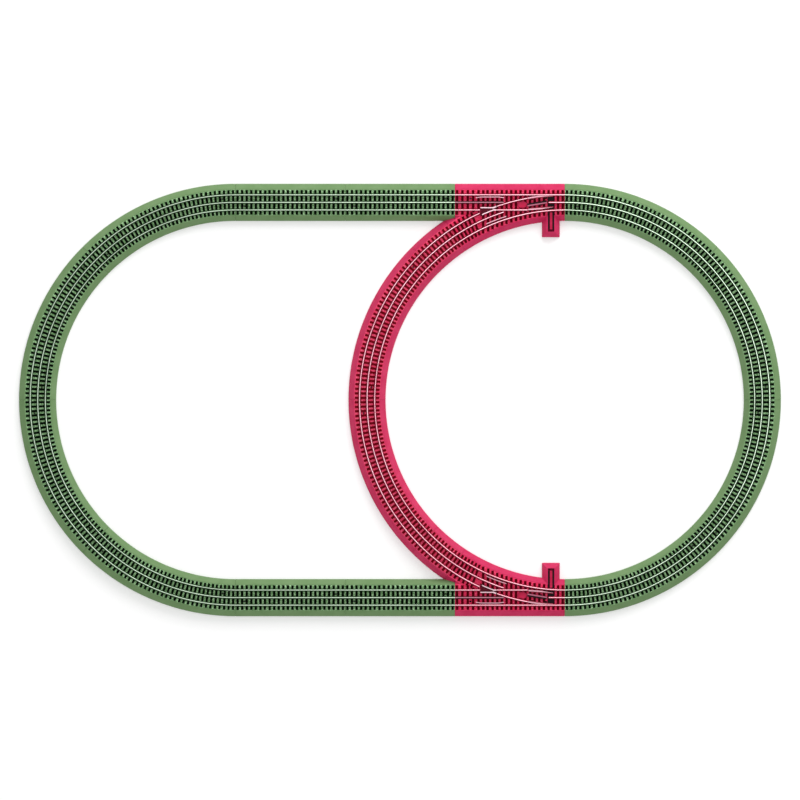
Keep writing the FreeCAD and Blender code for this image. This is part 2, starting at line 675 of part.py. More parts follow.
def blade_face(offset, inner_side):
    """Section of a moving rail: a plain head and web with a foot on its inner side only."""
    half, foot = HEAD_WIDTH / 2, HEAD_WIDTH / 2 + 1.6
    near, far = offset - inner_side * half, offset + inner_side * half
    toe = offset + inner_side * foot
    return face_of([(near, BLADE_Z), (toe, BLADE_Z), (toe, BLADE_Z + BLADE_FOOT), (far, BLADE_Z + BLADE_FOOT),
                    (far, RAIL_TOP), (near, RAIL_TOP)])


def point_blades():
    """The loop blade lies closed on the straight stock rail; the main blade stands open by the throw."""
    side, face = RAIL_OFFSET, RAIL_OFFSET - HEAD_WIDTH / 2 - BLADE_CLEAR
    tip, heel = loop_distance(POINT_TIP, -side), loop_distance(POINT_HEEL, -side)
    loop_blade = LOOP.sweep(blade_face(-side, 1), tip, heel)
    loop_blade = loop_blade.cut(slab(-FAR, FAR, face, FAR, 0, 2 * RAIL_TOP))
    main_blade = MAIN.sweep(blade_face(-side, 1), POINT_HEEL + STRAIGHT_LENGTH, POINT_TIP + STRAIGHT_LENGTH)
    main_blade = turned(main_blade.cut(LOOP.sweep(beside(face, 1), 0, LOOP.length)), SWING)
    return [loop_blade, main_blade]


def along_centre_blade(offset, width, low, high):
    """A bar on the line of the moving centre rail, its middle offset to the left of that line."""
    reach = CENTRE_BLADE_TIP - CENTRE_BLADE_HEEL
    bar = Part.makeBox(reach.Length, width, high - low, Vector(0, offset - width / 2, low))
    bar.rotate(ORIGIN, UP, math.degrees(math.atan2(reach.y, reach.x)))
    bar.translate(CENTRE_BLADE_HEEL)
    return bar


def centre_blade():
    """The moving stretch of centre rail, from beside the pivot to the end of the fixed centre rail."""
    return along_centre_blade(0, HEAD_WIDTH, BLADE_Z, RAIL_TOP - 0.3)


def blade_bar():
    """The bar of the swivel frame that stands beside the moving centre rail and stiffens it."""
    offset = (HEAD_WIDTH + BLADE_BAR_WIDTH) / 2
    return along_centre_blade(offset, BLADE_BAR_WIDTH, BLADE_Z - 0.4, RAIL_TOP - 1.2)


def drive_pin():
    """The pin of the swivel frame that the slide pushes."""
    low, high = CARRIER_HIGH - 1, BAR_HIGH - 0.6
    return turned(Part.makeCylinder(DRIVE_PIN_RADIUS, high - low, Vector(THROW_X, PIVOT.y, low)), SWING)


def swivel_carrier():
    """The frame under the roadbed: pivot shaft, arms, posts for the moving rails and the drive pin."""
    corners = [Vector(x, y, CARRIER_LOW) for x, y in CARRIER_OUTLINE]
    plate = Part.Face(Part.makePolygon(corners + corners[:1])).extrude(UP * (CARRIER_HIGH - CARRIER_LOW))
    plate = turned(plate, SWING)
    shaft = Part.makeCylinder(PIVOT_RADIUS, CAP_LOW - CARRIER_LOW, PIVOT + UP * CARRIER_LOW)
    seat = along_centre_blade(1.0, HEAD_WIDTH + 2.0, BLADE_Z - 0.6, BLADE_Z)
    return plate.fuse(blade_posts() + [shaft, drive_pin(), blade_bar(), seat]).removeSplitter()


def pivot_cap():
    return turned(oval_cap(0, CAP_LOW, RAIL_Z + 0.3), SWING)


def throw_bar():
    """The slide: a flanged plate in the slot, with a slotted hole over the drive pin of the swivel frame."""
    inner = SLOT_INNER - 0.3
    flange, half = BAR_FLANGE_WIDTH / 2, BAR_WIDTH / 2
    wide = slab(THROW_X - flange, THROW_X + flange, BAR_OUTER, inner, BAR_LOW, BAR_STEP)
    top = slab(THROW_X - half, THROW_X + half, BAR_OUTER, inner, BAR_STEP - 0.1, BAR_HIGH)
    pin = drive_pin().BoundBox
    room_x, room_y = 0.4, 0.1
    hole = slab(pin.XMin - room_x, pin.XMax + room_x, pin.YMin - room_y, pin.YMax + room_y, 0, RAIL_TOP)
    return wide.fuse(top).cut(hole).removeSplitter()


def throw_grip():
    """The finger grip on the slide, with cross ridges."""
    left, right = THROW_X - GRIP_WIDTH / 2, THROW_X + GRIP_WIDTH / 2
    grip = slab(left, right, GRIP_OUTER, GRIP_INNER, BAR_HIGH, GRIP_HIGH)
    starts = [GRIP_OUTER + GRIP_RIDGE * (2 * i + 1.5) for i in range(GRIP_RIDGES)]
    return grip.cut([slab(left, right, y, y + GRIP_RIDGE, GRIP_HIGH - 0.8, GRIP_HIGH + 1) for y in starts])


def slide_retainer():
    """The plate under the slide that keeps it in its slot."""
    long, wide = RETAINER_LENGTH / 2, RETAINER_WIDTH / 2
    plate = slab(THROW_X - long, THROW_X + long, RETAINER_Y - wide, RETAINER_Y + wide,
                 RETAINER_TOP - RETAINER_THICKNESS, RETAINER_TOP)
    holes = [Part.makeCylinder(1.2, 4, spot + UP * (RETAINER_TOP - 3)) for spot in retainer_screw_spots()]
    return plate.cut(holes)


def retainer_screws():
    """Two cross-head screws that hold the retainer to the roadbed."""
    under, head_height, half_slot, half_blade = RETAINER_TOP - RETAINER_THICKNESS, 1.2, 1.3, 0.25
    screws = []
    for spot in retainer_screw_spots():
        head = Part.makeCylinder(2.0, head_height, spot + UP * (under - head_height))
        shank = Part.makeCylinder(0.95, 3.2, spot + UP * (under - 0.1))
        low, high = under - head_height - 0.1, under - head_height / 2
        cross = [slab(spot.x - a, spot.x + a, spot.y - b, spot.y + b, low, high)
                 for a, b in ((half_slot, half_blade), (half_blade, half_slot))]
        screws.append(head.fuse(shank).cut(cross).removeSplitter())
    return screws


def detent_spring():
    """A bowed leaf spring that lies on the retainer and presses the slide up against the roadbed."""
    y0, y1 = RETAINER_Y - SPRING_LENGTH / 2, RETAINER_Y + SPRING_LENGTH / 2
    width, leaf = 5.0, 0.35
    low, high = RETAINER_TOP, BAR_LOW - 0.1

    def bow(rise):
        ends = [Vector(0, y, low + rise) for y in (y0, y1)]
        return Part.Arc(ends[0], Vector(0, RETAINER_Y, high - leaf + rise), ends[1]).toShape()

    lower, upper = bow(0), bow(leaf)
    sides = [Part.makeLine(Vector(0, y, low), Vector(0, y, low + leaf)) for y in (y0, y1)]
    face = Part.Face(Part.Wire(Part.__sortEdges__([lower, upper] + sides)))
    face.translate(Vector(THROW_X - width / 2, 0, 0))
    return face.extrude(Vector(width, 0, 0))


# ---- layout ----
HALF_OVAL = 1.5 * STRAIGHT_LENGTH
LEFT_CENTRE = Vector(-HALF_OVAL, 0, 0)
RIGHT_CENTRE = Vector(HALF_OVAL, 0, 0)
LEFT_TURNOUT = Vector(HALF_OVAL, CURVE_RADIUS, 0)


def straight_places():
    xs = (-HALF_OVAL, -HALF_OVAL + STRAIGHT_LENGTH)
    return [Vector(x, y, 0) for y in (CURVE_RADIUS, -CURVE_RADIUS) for x in xs]


def put(shapes, angle, place):
    """Copies of shapes turned about the origin and moved to place."""
    placed = []
    for shape in shapes:
        copy = shape.copy()
        copy.rotate(ORIGIN, UP, angle)
        copy.translate(place)
        placed.append(copy)
    return placed


def both_turnouts(shapes):
    """(left-hand copies, right-hand copies): the second is the first mirrored across the layout."""
    left = put(shapes, 0, LEFT_TURNOUT)
    return left, [shape.mirror(ORIGIN, Vector(0, 1, 0)) for shape in left]


def save(name, shapes):
    solids = [solid for shape in shapes for solid in shape.Solids]
    for solid in solids:
        if not solid.isValid() or solid.Volume <= 0:
            raise ValueError(name + " holds a bad solid")
    Part.makeCompound(solids).exportStep("parts/" + name + ".step")
    print(name, len(solids), round(sum(s.Volume for s in solids) / 1000, 2))


def save_sections():
    """Roadbeds and rails of all the plain sections, and their straps.  Returns the straps."""
    straps = []
    kinds = (("straight", Straight(0, 0, STRAIGHT_LENGTH), TIES_PER_STRAIGHT, TIE_WIDTH, 3, 2,
              [(0, place) for place in straight_places()]),
             ("curve", Curve(ORIGIN, 0, CURVE_ANGLE), TIES_PER_CURVE, TIE_WIDTH_CURVE, 4, 3,
              [(90 + CURVE_ANGLE * i, LEFT_CENTRE) for i in range(4)]
              + [(CURVE_ANGLE * i - 90, RIGHT_CENTRE) for i in range(4)]),
             ("loop", Curve(ORIGIN, 0, CURVE_ANGLE), TIES_PER_CURVE, TIE_WIDTH_CURVE, 4, 3,
              [(135, RIGHT_CENTRE), (180, RIGHT_CENTRE)]),
             ("fitter", Curve(ORIGIN, 0, FITTER_ANGLE), TIES_PER_CURVE // 4, TIE_WIDTH_CURVE, 1, 0,
              [(90 + TURNOUT_ANGLE, RIGHT_CENTRE), (225, RIGHT_CENTRE)]))
    for kind, route, ties, tie_width, cells, gaps, places in kinds:
        screws = screw_spots(route, ties, gaps) if gaps else []
        bed = roadbed(route, ties, tie_width, cells, screws)
        rails = plain_rails(route, ties)
        strap = bus_strap(route, ties)
        for i, (angle, place) in enumerate(places, 1):
            placed = put([bed], angle, place)
            if kind == "fitter":
                placed = [placed[0].cut(neighbour_rooms())]
            save(f"{kind}_roadbed_{i}", placed)
            save(f"{kind}_rails_{i}", put(rails, angle, place))
            straps += put([strap], angle, place)
    return straps


def neighbour_rooms():
    return [shape for pair in both_turnouts([neighbour_room()]) for shape in pair]


def all_pins():
    """Pins at every joint of the oval and of the loop."""
    east, west = Curve(RIGHT_CENTRE, -90, 90), Curve(LEFT_CENTRE, 90, 270)
    loop = Curve(RIGHT_CENTRE, 90 + TURNOUT_ANGLE, 270 - TURNOUT_ANGLE)
    quarter = math.radians(CURVE_ANGLE) * CURVE_RADIUS
    short = math.radians(FITTER_ANGLE) * CURVE_RADIUS
    pins = []
    for route in (east, west):
        for i in range(5):
            pins += joint_pins(route, i * quarter)
    for s in (0, short, short + quarter, short + 2 * quarter, 2 * short + 2 * quarter):
        pins += joint_pins(loop, s)
    for y in (CURVE_RADIUS, -CURVE_RADIUS):
        for i in (1, 2):
            pins += joint_pins(Straight(-HALF_OVAL, y, 3 * STRAIGHT_LENGTH), i * STRAIGHT_LENGTH)
    return pins


def save_turnouts():
    """Every piece of the two turnouts.  Their springs, retainers and screws share a node each."""
    save("left_turnout_roadbed", both_turnouts([turnout_roadbed(1)])[0])
    save("right_turnout_roadbed", both_turnouts([turnout_roadbed(-1)])[1])
    pieces = {"running_rails": running_rails(), "centre_rails": centre_rails(),
              "guard_rails": guard_rails(), "frog": [frog()], "swivel_frame": [swivel_carrier()],
              "pivot_cap": [pivot_cap()], "point_blades": point_blades(), "centre_blade": [centre_blade()],
              "throw_bar": [throw_bar()], "throw_grip": [throw_grip()]}
    for name, shapes in pieces.items():
        left, right = both_turnouts(shapes)
        save("left_turnout_" + name, left)
        save("right_turnout_" + name, right)
    shared = {"detent_springs": [detent_spring()], "slide_retainers": [slide_retainer()],
              "retainer_screws": retainer_screws()}
    for name, shapes in shared.items():
        left, right = both_turnouts(shapes)
        save(name, left + right)


def build():
    os.makedirs("parts", exist_ok=True)
    straps = save_sections()
    save_turnouts()
    save("bus_straps", straps)
    save("rail_pins", all_pins())


build()
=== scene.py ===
"""Looks of a three-rail toy track layout: moulded roadbeds, ballast, sleepers, rails and turnout parts.

Metres throughout.  Each kind of section is modelled once in its own place, the way it was moulded, and then
copied to where the layout has it.  The right-hand turnout is the left-hand one mirrored.
"""
import bmesh
import bpy
import json
import math
import numpy as np
from mathutils import Matrix, Vector

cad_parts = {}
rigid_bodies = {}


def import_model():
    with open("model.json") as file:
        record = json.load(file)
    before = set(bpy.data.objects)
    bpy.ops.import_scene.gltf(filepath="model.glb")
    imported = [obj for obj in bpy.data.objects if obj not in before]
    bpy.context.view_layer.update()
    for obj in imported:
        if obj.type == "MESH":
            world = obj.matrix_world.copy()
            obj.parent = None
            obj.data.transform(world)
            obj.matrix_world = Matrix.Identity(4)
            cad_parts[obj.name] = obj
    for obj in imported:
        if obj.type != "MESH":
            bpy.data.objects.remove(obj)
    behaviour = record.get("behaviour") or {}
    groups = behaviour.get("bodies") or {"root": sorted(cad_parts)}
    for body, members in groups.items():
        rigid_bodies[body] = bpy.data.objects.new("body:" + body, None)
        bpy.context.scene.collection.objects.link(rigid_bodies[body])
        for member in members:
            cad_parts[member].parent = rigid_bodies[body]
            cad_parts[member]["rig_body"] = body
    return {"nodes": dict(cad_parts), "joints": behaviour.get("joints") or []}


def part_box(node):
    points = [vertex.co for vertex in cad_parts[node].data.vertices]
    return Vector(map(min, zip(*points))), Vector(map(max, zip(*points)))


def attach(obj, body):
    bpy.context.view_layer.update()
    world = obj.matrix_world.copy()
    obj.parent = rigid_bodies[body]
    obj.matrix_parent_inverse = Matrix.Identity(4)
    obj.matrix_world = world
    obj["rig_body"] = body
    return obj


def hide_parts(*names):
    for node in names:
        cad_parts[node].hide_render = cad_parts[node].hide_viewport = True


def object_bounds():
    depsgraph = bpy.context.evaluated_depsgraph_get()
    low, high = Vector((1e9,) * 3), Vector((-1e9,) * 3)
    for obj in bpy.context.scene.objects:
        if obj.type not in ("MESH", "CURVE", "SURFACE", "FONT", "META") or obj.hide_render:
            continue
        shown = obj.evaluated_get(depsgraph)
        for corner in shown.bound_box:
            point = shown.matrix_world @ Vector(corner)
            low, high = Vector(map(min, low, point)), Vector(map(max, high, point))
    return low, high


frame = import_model()
CAD_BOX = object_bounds()
MM = 0.001
RNG = np.random.default_rng(11)

# ---- sizes read from the frame ----
LOW, HIGH = CAD_BOX
BED_LOW, BED_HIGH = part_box("straight_roadbed_1")
RAILS_LOW, RAILS_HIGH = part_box("straight_rails_1")
BED_WIDTH = BED_HIGH.y - BED_LOW.y
STRAIGHT_LENGTH = RAILS_HIGH.x - RAILS_LOW.x
CURVE_RADIUS = (HIGH.y - LOW.y - BED_WIDTH) / 2
HALF_OVAL = 1.5 * STRAIGHT_LENGTH
RAIL_TOP = HIGH.z
TIE_TOP = BED_HIGH.z
TIE_RISE = 1.2 * MM
BED_TOP = TIE_TOP - TIE_RISE
CURVE_ANGLE = math.radians(45)
FITTER_ANGLE = CURVE_ANGLE / 4
TURNOUT_ANGLE = CURVE_ANGLE - FITTER_ANGLE

# ---- section details, as in the CAD part ----
BED_TOP_WIDTH = 63 * MM
BED_LIP = 2.5 * MM
WALL = 2 * MM
SLOPE_SHARE = 0.8             # of a wall's thickness, what its slope takes off the hollow at the top
LIP_SHARE = 0.3               # of a wall's thickness, how far the hollow's lip lies below the outside one
FOOT_ROUND = 0.8 * MM         # rounding at the foot of a shoulder
SHOULDER_ROUND = 1.6 * MM
HOLLOW_ROUND = 1.0 * MM
RAIL_OFFSET = 17.475 * MM
RAIL_FOOT = 3 * MM
TIE_LENGTH = 57 * MM
TIE_WIDTH = 5.6 * MM
TIE_WIDTH_CURVE = 5.3 * MM
TIE_SINK = 0.6 * MM           # how deep a sleeper's underside lies in the roadbed
TIE_EDGE = 0.35 * MM          # chamfer along a sleeper's edges
TIES_PER_STRAIGHT = 24
TIES_PER_CURVE = 36
SCREW_OFFSET = RAIL_OFFSET / 2
SCREW_RADIUS = 2.1 * MM
SCREW_MOUTH = 1.35 * SCREW_RADIUS
MOUTH_SLOPE = (-0.5 * MM, 0.3 * MM)   # where a screw hole widens, from the roadbed's top
SEAM = 0.7 * MM               # chamfer at each end of a section
END_GAP = 0.04 * MM           # each section stops this far short of its neighbour
STONE = 2.6 * MM              # width of one ballast stone
STONE_HEIGHT = 0.40 * MM
STONE_JITTER = 0.7            # how far a stone's middle strays within its square, as a share of the square
HASH = (127.1, 311.7, 74.7)   # factors that leave no pattern from one stone to the next
HASH_GAIN = 43758.5453
CREVICE = 0.45                # width of the gap between two stones, as a share of a stone; the ballast's colour is also darkened across it, as painted shade
BALLAST_EDGE = (1.4 * MM, 2.6 * MM)   # from a top edge in to where the ballast starts, and where it is full
GRID = 1.1 * MM               # spacing of the ballast mesh
TINY = 0.01 * MM              # a difference this small counts as none
LOWEST_STONE = 0.55           # as a share of the highest
DARKEST_STONE = 0.35
LENGTH_SPREAD = 0.25 * MM     # how unevenly the sleepers are sawn and laid
WIDTH_SPREAD = 0.06 * MM
ANGLE_SPREAD = math.radians(0.35)
GRAIN_LINES = 6               # across a sleeper
GRAIN_STEPS = 12              # along a sleeper
GRAIN_DEPTH = 0.14 * MM
SAW_WOBBLE = 0.05 * MM
RUNNING_BAND_AND_HIGHLIGHT = (0.92, 0.985)  # upward part of a rail's normal, from dull to polished by wheels and carrying a painted highlight
SPIKE_LENGTH = 1.6 * MM
SPIKE_WIDTH = 1.1 * MM
SPIKE_HEIGHT = 0.75 * MM
SPIKE_SINK = 0.3 * MM
SPIKE_TAPER = 0.65            # top of a spike's head, as a share of its base
SPIKE_GAP = 0.75 * MM         # from the edge of a rail's foot to the middle of a spike
SPIKE_STAGGER = 0.9 * MM      # the two spikes of a rail stand this far either side of the sleeper's middle
POLISH_AND_HIGHLIGHT_DEPTH = 0.8 * MM         # how far down from its top a rail is polished and carries its painted highlight
DULL_POLISH_AND_HIGHLIGHT_DEPTH = 2.0 * MM
SHADED_FOOT_BAND = (TIE_TOP + 1.2 * MM, TIE_TOP + 1.7 * MM)  # heights at which a rail's dark foot ends; that dark foot is painted shade under the rail's head
SHARP_EDGE = 35               # degrees; edges of rails, fittings and sleepers are sharp above this
BED_EDGE = 50
HOUSING_CORNER = 25
WELD = 0.002 * MM             # vertices closer than this become one
COPLANAR = math.radians(1)

# ---- turnout, with its entry end at the origin and its straight route towards -X ----
THROW_X = -31.5 * MM
HOUSING_X = THROW_X - 0.6 * MM
HOUSING_HALF = 20.5 * MM
HOUSING_TOP_HALF = 10 * MM
HOUSING_REACH = 80.5 * MM
HOUSING_END_RUN = 11.5 * MM
HOUSING_ROUND = 1.0 * MM
HOUSING_SINK = 0.05 * MM      # its top lies this far below the roadbed's, which it runs under
SLOT_FLOOR = 12.3 * MM
SLOT_HALF = 7.4 * MM
SLOT_INNER = 14.2 * MM
SLOT_OUTER = -67.7 * MM
FLANGE_ROOM = 8.3 * MM        # half the width of the passage for the slide's flange
FLANGE_CEILING = BED_TOP - WALL - 0.1 * MM
TRAY_LOW = 3.0 * MM           # underside of the floor below the throw slide
TRAY_ROUND = 0.2 * MM
SWIVEL = next(joint for joint in frame["joints"] if joint["name"] == "left_points_swivel")
SWING = math.radians(SWIVEL["range_deg"][1])
PIVOT = Vector(SWIVEL["pos_m"]) - Vector((HALF_OVAL, CURVE_RADIUS, 0))
PIVOT_HOLE = 3.2 * MM
CAP_HALF_LENGTH = 3 * MM      # straight part of the oval pivot cap, each way from the pivot
CAP_RADIUS = 7 * MM
POST_XS = (-44.3 * MM, -76.5 * MM)
CENTRE_POST_XS = (-55 * MM, -76.5 * MM)
CENTRE_HEEL = Vector((-86.0 * MM, -7.9 * MM))
CENTRE_TIP = Vector((-41.0 * MM, -0.5 * MM))
POST_HALF_LENGTH = 2.4 * MM   # a post with the room round it
POST_HALF_WIDTH = 1.6 * MM
POST_INSET = 2.2 * MM         # from a running rail's line in to the post of its blade
BLADE_HEEL = -88 * MM
ENTRY_CENTRE_END = -38 * MM   # where the fixed centre rail at the entry stops
EXIT_CENTRE_START = -143 * MM
FROG_START = -158 * MM
FROG_END = -195 * MM
LEG_START = math.radians(24)  # where the loop leg's own mesh begins, inside the main one
SPLIT_X = -190 * MM           # left of this the main mesh ends at the loop's centre line
LEG_BLEND = 12 * MM           # from the split, the loop leg's mesh sinks below the main one over this length
LEG_SHRINK = 0.015
LEG_DROP = 1.3 * MM
LEG_MARGIN = 0.5 * MM         # how far past the loop's middle a vertex lies before it is drawn in altogether
PLATEAU_POINTS = 96           # across the turnout's top
TIES_ON_LOOP_LEG = 6
LEG_FAN = 0.9                 # how much the loop leg's sleepers turn towards the straight route's
FIRST_TIE = 4.9 * MM          # from the frog end of the straight route to the first sleeper's middle
WIDE_TIES = 5
WIDE_PITCH = 12.45 * MM
CLOSE_TIES = 18
CLOSE_PITCH = 10.82 * MM
TIE_MEETING = 3 * MM          # past the frog, the straight route's sleepers run this far in over the loop's
SPIKE_CLEAR = 3 * MM          # no spike stands nearer than this to the slot
CAP_ROOM = 0.7 * MM           # between the pivot cap and the sleepers round it
TOP_ZONE = 1.05 * SEAM        # how far below the top the turnout's main mesh is held to both slopes
HOUSING_INNER = -0.9 * BED_TOP_WIDTH / 2  # the smooth top of the housing ends at this line
SLOT_EDGE = (0.8 * MM, 2.0 * MM)      # as BALLAST_EDGE, from the slot, the housing and the pivot cap
HOUSING_EDGE = (0, 1.5 * MM)
CAP_EDGE = (1.5 * MM, 2.7 * MM)

# ---- stage, in metres ----
FLOOR_HALF = 24.0
FLOOR_Z = -0.3 * MM
CAMERA_HEIGHT = 3.0
PICTURE_WIDTH = 1.0503        # as a share of the layout's length
SKY_STRENGTH = 0.82


# ---- routes ----
class Straight:
    """A route along +X from the origin.  u is measured to its left."""

    def __init__(self, length):
        self.length = length

    def place(self, s, u):
        return s + 0 * u, u + 0 * s

    def heading(self, s):
        return 0.0


class Curve:
    """A route round the centre, anticlockwise.  u is measured to its left, which is inwards."""

    def __init__(self, start, angle, centre=(0, 0)):
        self.start, self.centre = start, centre
        self.length = angle * CURVE_RADIUS

    def place(self, s, u):
        angle = self.start + s / CURVE_RADIUS
        radius = CURVE_RADIUS - u
        return self.centre[0] + radius * np.cos(angle), self.centre[1] + radius * np.sin(angle)

    def heading(self, s):
        return self.start + s / CURVE_RADIUS + math.pi / 2


LOOP_CENTRE = (0, -CURVE_RADIUS)


def loop_y(x, u):
    """Y of the line u to the left of the loop route, at x."""
    return np.sqrt((CURVE_RADIUS - u) ** 2 - x ** 2) - CURVE_RADIUS


# ---- small helpers ----
def smoothstep(value, low, high):
    t = np.clip((value - low) / (high - low), 0, 1)
    return t * t * (3 - 2 * t)


def hashed(i, j, salt):
    """A repeatable random number from 0 to 1 for each whole-number pair."""
    wave = np.sin(i * HASH[0] + j * HASH[1] + salt * HASH[2]) * HASH_GAIN
    return wave - np.floor(wave)


def stones(x, y):
    """(height, tone) of crushed-stone ballast at each point, both from 0 to 1.  The tone is each stone's own
    lightness, darkened by painted shade in the crevices between stones.
    """
    column, row = np.floor(x / STONE), np.floor(y / STONE)
    nearest = np.full(x.shape, np.inf)
    second = np.full(x.shape, np.inf)
    tone = np.zeros(x.shape)
    margin = (1 - STONE_JITTER) / 2
    for di in (-1, 0, 1):
        for dj in (-1, 0, 1):
            i, j = column + di, row + dj
            px = i + margin + STONE_JITTER * hashed(i, j, 1)
            py = j + margin + STONE_JITTER * hashed(i, j, 2)
            gap = np.hypot(x / STONE - px, y / STONE - py)
            closer = gap < nearest
            second = np.where(closer, nearest, np.minimum(second, gap))
            tone = np.where(closer, hashed(i, j, 3), tone)
            nearest = np.where(closer, gap, nearest)
    crevice = smoothstep(second - nearest, 0.0, CREVICE)
    height = LOWEST_STONE + (1 - LOWEST_STONE) * tone
    light = DARKEST_STONE + (1 - DARKEST_STONE) * tone
    # the tone falls to its darkest towards each crevice: painted shade between the stones
    return crevice * height, crevice * light


def rounded(points, radii, steps=4):
    """The corner points of an open line, each replaced by an arc of its own radius."""
    line = [np.array(points[0], float)]
    for before, corner, after, radius in zip(points, points[1:], points[2:], radii):
        a, b, c = (np.array(p, float) for p in (before, corner, after))
        inward, outward = (a - b) / np.linalg.norm(a - b), (c - b) / np.linalg.norm(c - b)
        start, end = b + inward * radius, b + outward * radius
        for i in range(steps + 1):
            t = i / steps
            line.append((1 - t) ** 2 * start + 2 * t * (1 - t) * b + t ** 2 * end)
    line.append(np.array(points[-1], float))
    return np.array(line)


def grid_faces(rows, columns):
    """Quads of a grid whose columns close on themselves, with a face over each end."""
    row, column = np.arange(rows - 1)[:, None] * columns, np.arange(columns)[None, :]
    here, across = (row + column).ravel(), (row + (column + 1) % columns).ravel()
    quads = np.stack([here, across, across + columns, here + columns], 1).tolist()
    quads.append(list(range(columns))[::-1])
    quads.append([(rows - 1) * columns + i for i in range(columns)])
    return quads


def face_outwards(mesh):
    build = bmesh.new()
    build.from_mesh(mesh)
    bmesh.ops.recalc_face_normals(build, faces=build.faces)
    build.to_mesh(mesh)
    build.free()


def to_mesh(name, points, faces):
    mesh = bpy.data.meshes.new(name)
    mesh.from_pydata(np.asarray(points).reshape(-1, 3).tolist(), [], faces)
    mesh.validate()
    face_outwards(mesh)
    return mesh


def smooth(mesh, degrees):
    """Shades the mesh smooth, apart from the edges that turn by more than this."""
    mesh.shade_smooth()
    mesh.set_sharp_from_angle(angle=math.radians(degrees))


def joined(name, meshes):
    """One mesh made of several."""
    build = bmesh.new()
    for mesh in meshes:
        build.from_mesh(mesh)
    result = bpy.data.meshes.new(name)
    build.to_mesh(result)
    build.free()
    return result


def block(x0, x1, y0, y1, z0, z1):
    """A plain box mesh."""
    corners = [(x, y, z) for z in (z0, z1) for x, y in ((x0, y0), (x1, y0), (x1, y1), (x0, y1))]
    faces = [[3, 2, 1, 0], [4, 5, 6, 7]] + [[i, (i + 1) % 4, 4 + (i + 1) % 4, 4 + i] for i in range(4)]
    return to_mesh("block", corners, faces)


def turned_shape(x, y, rings, segments=40, stretch=0.0):
    """A turned solid from (radius, height) rings; stretch pulls it out into an oval along X."""
    points = []
    for radius, height in rings:
        for i in range(segments):
            angle = 2 * math.pi * (i + 0.5) / segments
            px = x + radius * math.cos(angle) + math.copysign(stretch, math.cos(angle))
            points.append((px, y + radius * math.sin(angle), height))
    return to_mesh("turned", points, grid_faces(len(rings), segments))


def modified(mesh, kind, **settings):
    """The mesh with one modifier applied."""
    holder = bpy.data.objects.new("holder", mesh)
    bpy.context.scene.collection.objects.link(holder)
    modifier = holder.modifiers.new(kind, kind)
    for key, value in settings.items():
        setattr(modifier, key, value)
    evaluated = holder.evaluated_get(bpy.context.evaluated_depsgraph_get())
    result = bpy.data.meshes.new_from_object(evaluated)
    bpy.data.objects.remove(holder)
    return result


def cut(mesh, cutters):
    """The mesh with the cutters' space removed."""
    tool = bpy.data.objects.new("cutter", joined("cutter", cutters))
    bpy.context.scene.collection.objects.link(tool)
    result = modified(mesh, "BOOLEAN", operation="DIFFERENCE", solver="EXACT", object=tool)
    bpy.data.objects.remove(tool)
    return result


# ---- roadbed ----
def outer_profile():
    """(u, z) of the outside of a roadbed, from its right foot over the top to its left foot."""
    half, top = BED_WIDTH / 2, BED_TOP_WIDTH / 2
    corners = [(-half, 0), (-half, BED_LIP), (-top, BED_TOP), (0, BED_TOP)]
    side = rounded(corners, (FOOT_ROUND, SHOULDER_ROUND))[:-1]
    flat = np.arange(side[-1][0] + GRID, -side[-1][0] - GRID / 2, GRID)
    plateau = np.stack([flat, np.full(flat.shape, BED_TOP)], 1)
    return np.vstack([side, plateau, side[::-1] * (-1, 1)])


def inner_profile():
    """(u, z) of the hollow under it, from its left foot over to its right foot."""
    half, top = BED_WIDTH / 2 - WALL, BED_TOP_WIDTH / 2 - SLOPE_SHARE * WALL
    corners = [(half, 0), (half, BED_LIP - LIP_SHARE * WALL), (top, BED_TOP - WALL), (0, BED_TOP - WALL)]
    side = rounded(corners, (FOOT_ROUND, HOLLOW_ROUND))[:-1]
    return np.vstack([side, side[::-1] * (-1, 1)])


def inset(profile, depth):
    """The outside line moved inwards by depth, for the chamfer at a seam."""
    along = np.gradient(profile, axis=0)
    normal = np.stack([along[:, 1], -along[:, 0]], 1)
    normal /= np.linalg.norm(normal, axis=1)[:, None]
    moved = profile + normal * depth
    moved[:, 1] = np.maximum(moved[:, 1], 0)
    return moved


OUTER, INNER = outer_profile(), inner_profile()
OUTER_INSET = inset(OUTER, SEAM)


def stations(length):
    """Distances along a section: close to each end for the seam, then even."""
    count = max(2, round((length - 2 * SEAM) / GRID))
    return np.concatenate([[END_GAP], np.linspace(SEAM, length - SEAM, count), [length - END_GAP]])


def ballast_mask(u):
    """1 where the top of a plain roadbed is ballast, and 0 at its edges."""
    return smoothstep(BED_TOP_WIDTH / 2 - np.abs(u), *BALLAST_EDGE)


def hollow_bed(route):
    """A hollow roadbed along the route, with its ballast modelled on top."""
    s = stations(route.length)
    rows, columns = len(s), len(OUTER) + len(INNER)
    u, z = np.zeros((rows, columns)), np.zeros((rows, columns))
    for row in range(rows):
        outside = OUTER_INSET if row in (0, rows - 1) else OUTER
        u[row], z[row] = np.vstack([outside, INNER]).T
    x, y = route.place(s[:, None] + 0 * u, u)
    on_top = z > BED_TOP - TINY
    z = z + on_top * ballast_mask(u) * stones(x, y)[0] * STONE_HEIGHT
    return to_mesh("bed", np.stack([x, y, z], 2), grid_faces(rows, columns))


def screw_cutter(x, y):
    """A countersunk hole right through."""
    low, high = (BED_TOP + rise for rise in MOUTH_SLOPE)
    rings = ((SCREW_RADIUS, -MM), (SCREW_RADIUS, low), (SCREW_MOUTH, high), (SCREW_MOUTH, RAIL_TOP))
    return turned_shape(x, y, rings)


def spot_on(route, s, u):
    """The point at s along a route and u to its left, as plain numbers."""
    x, y = route.place(np.float64(s), np.float64(u))
    return float(x), float(y)


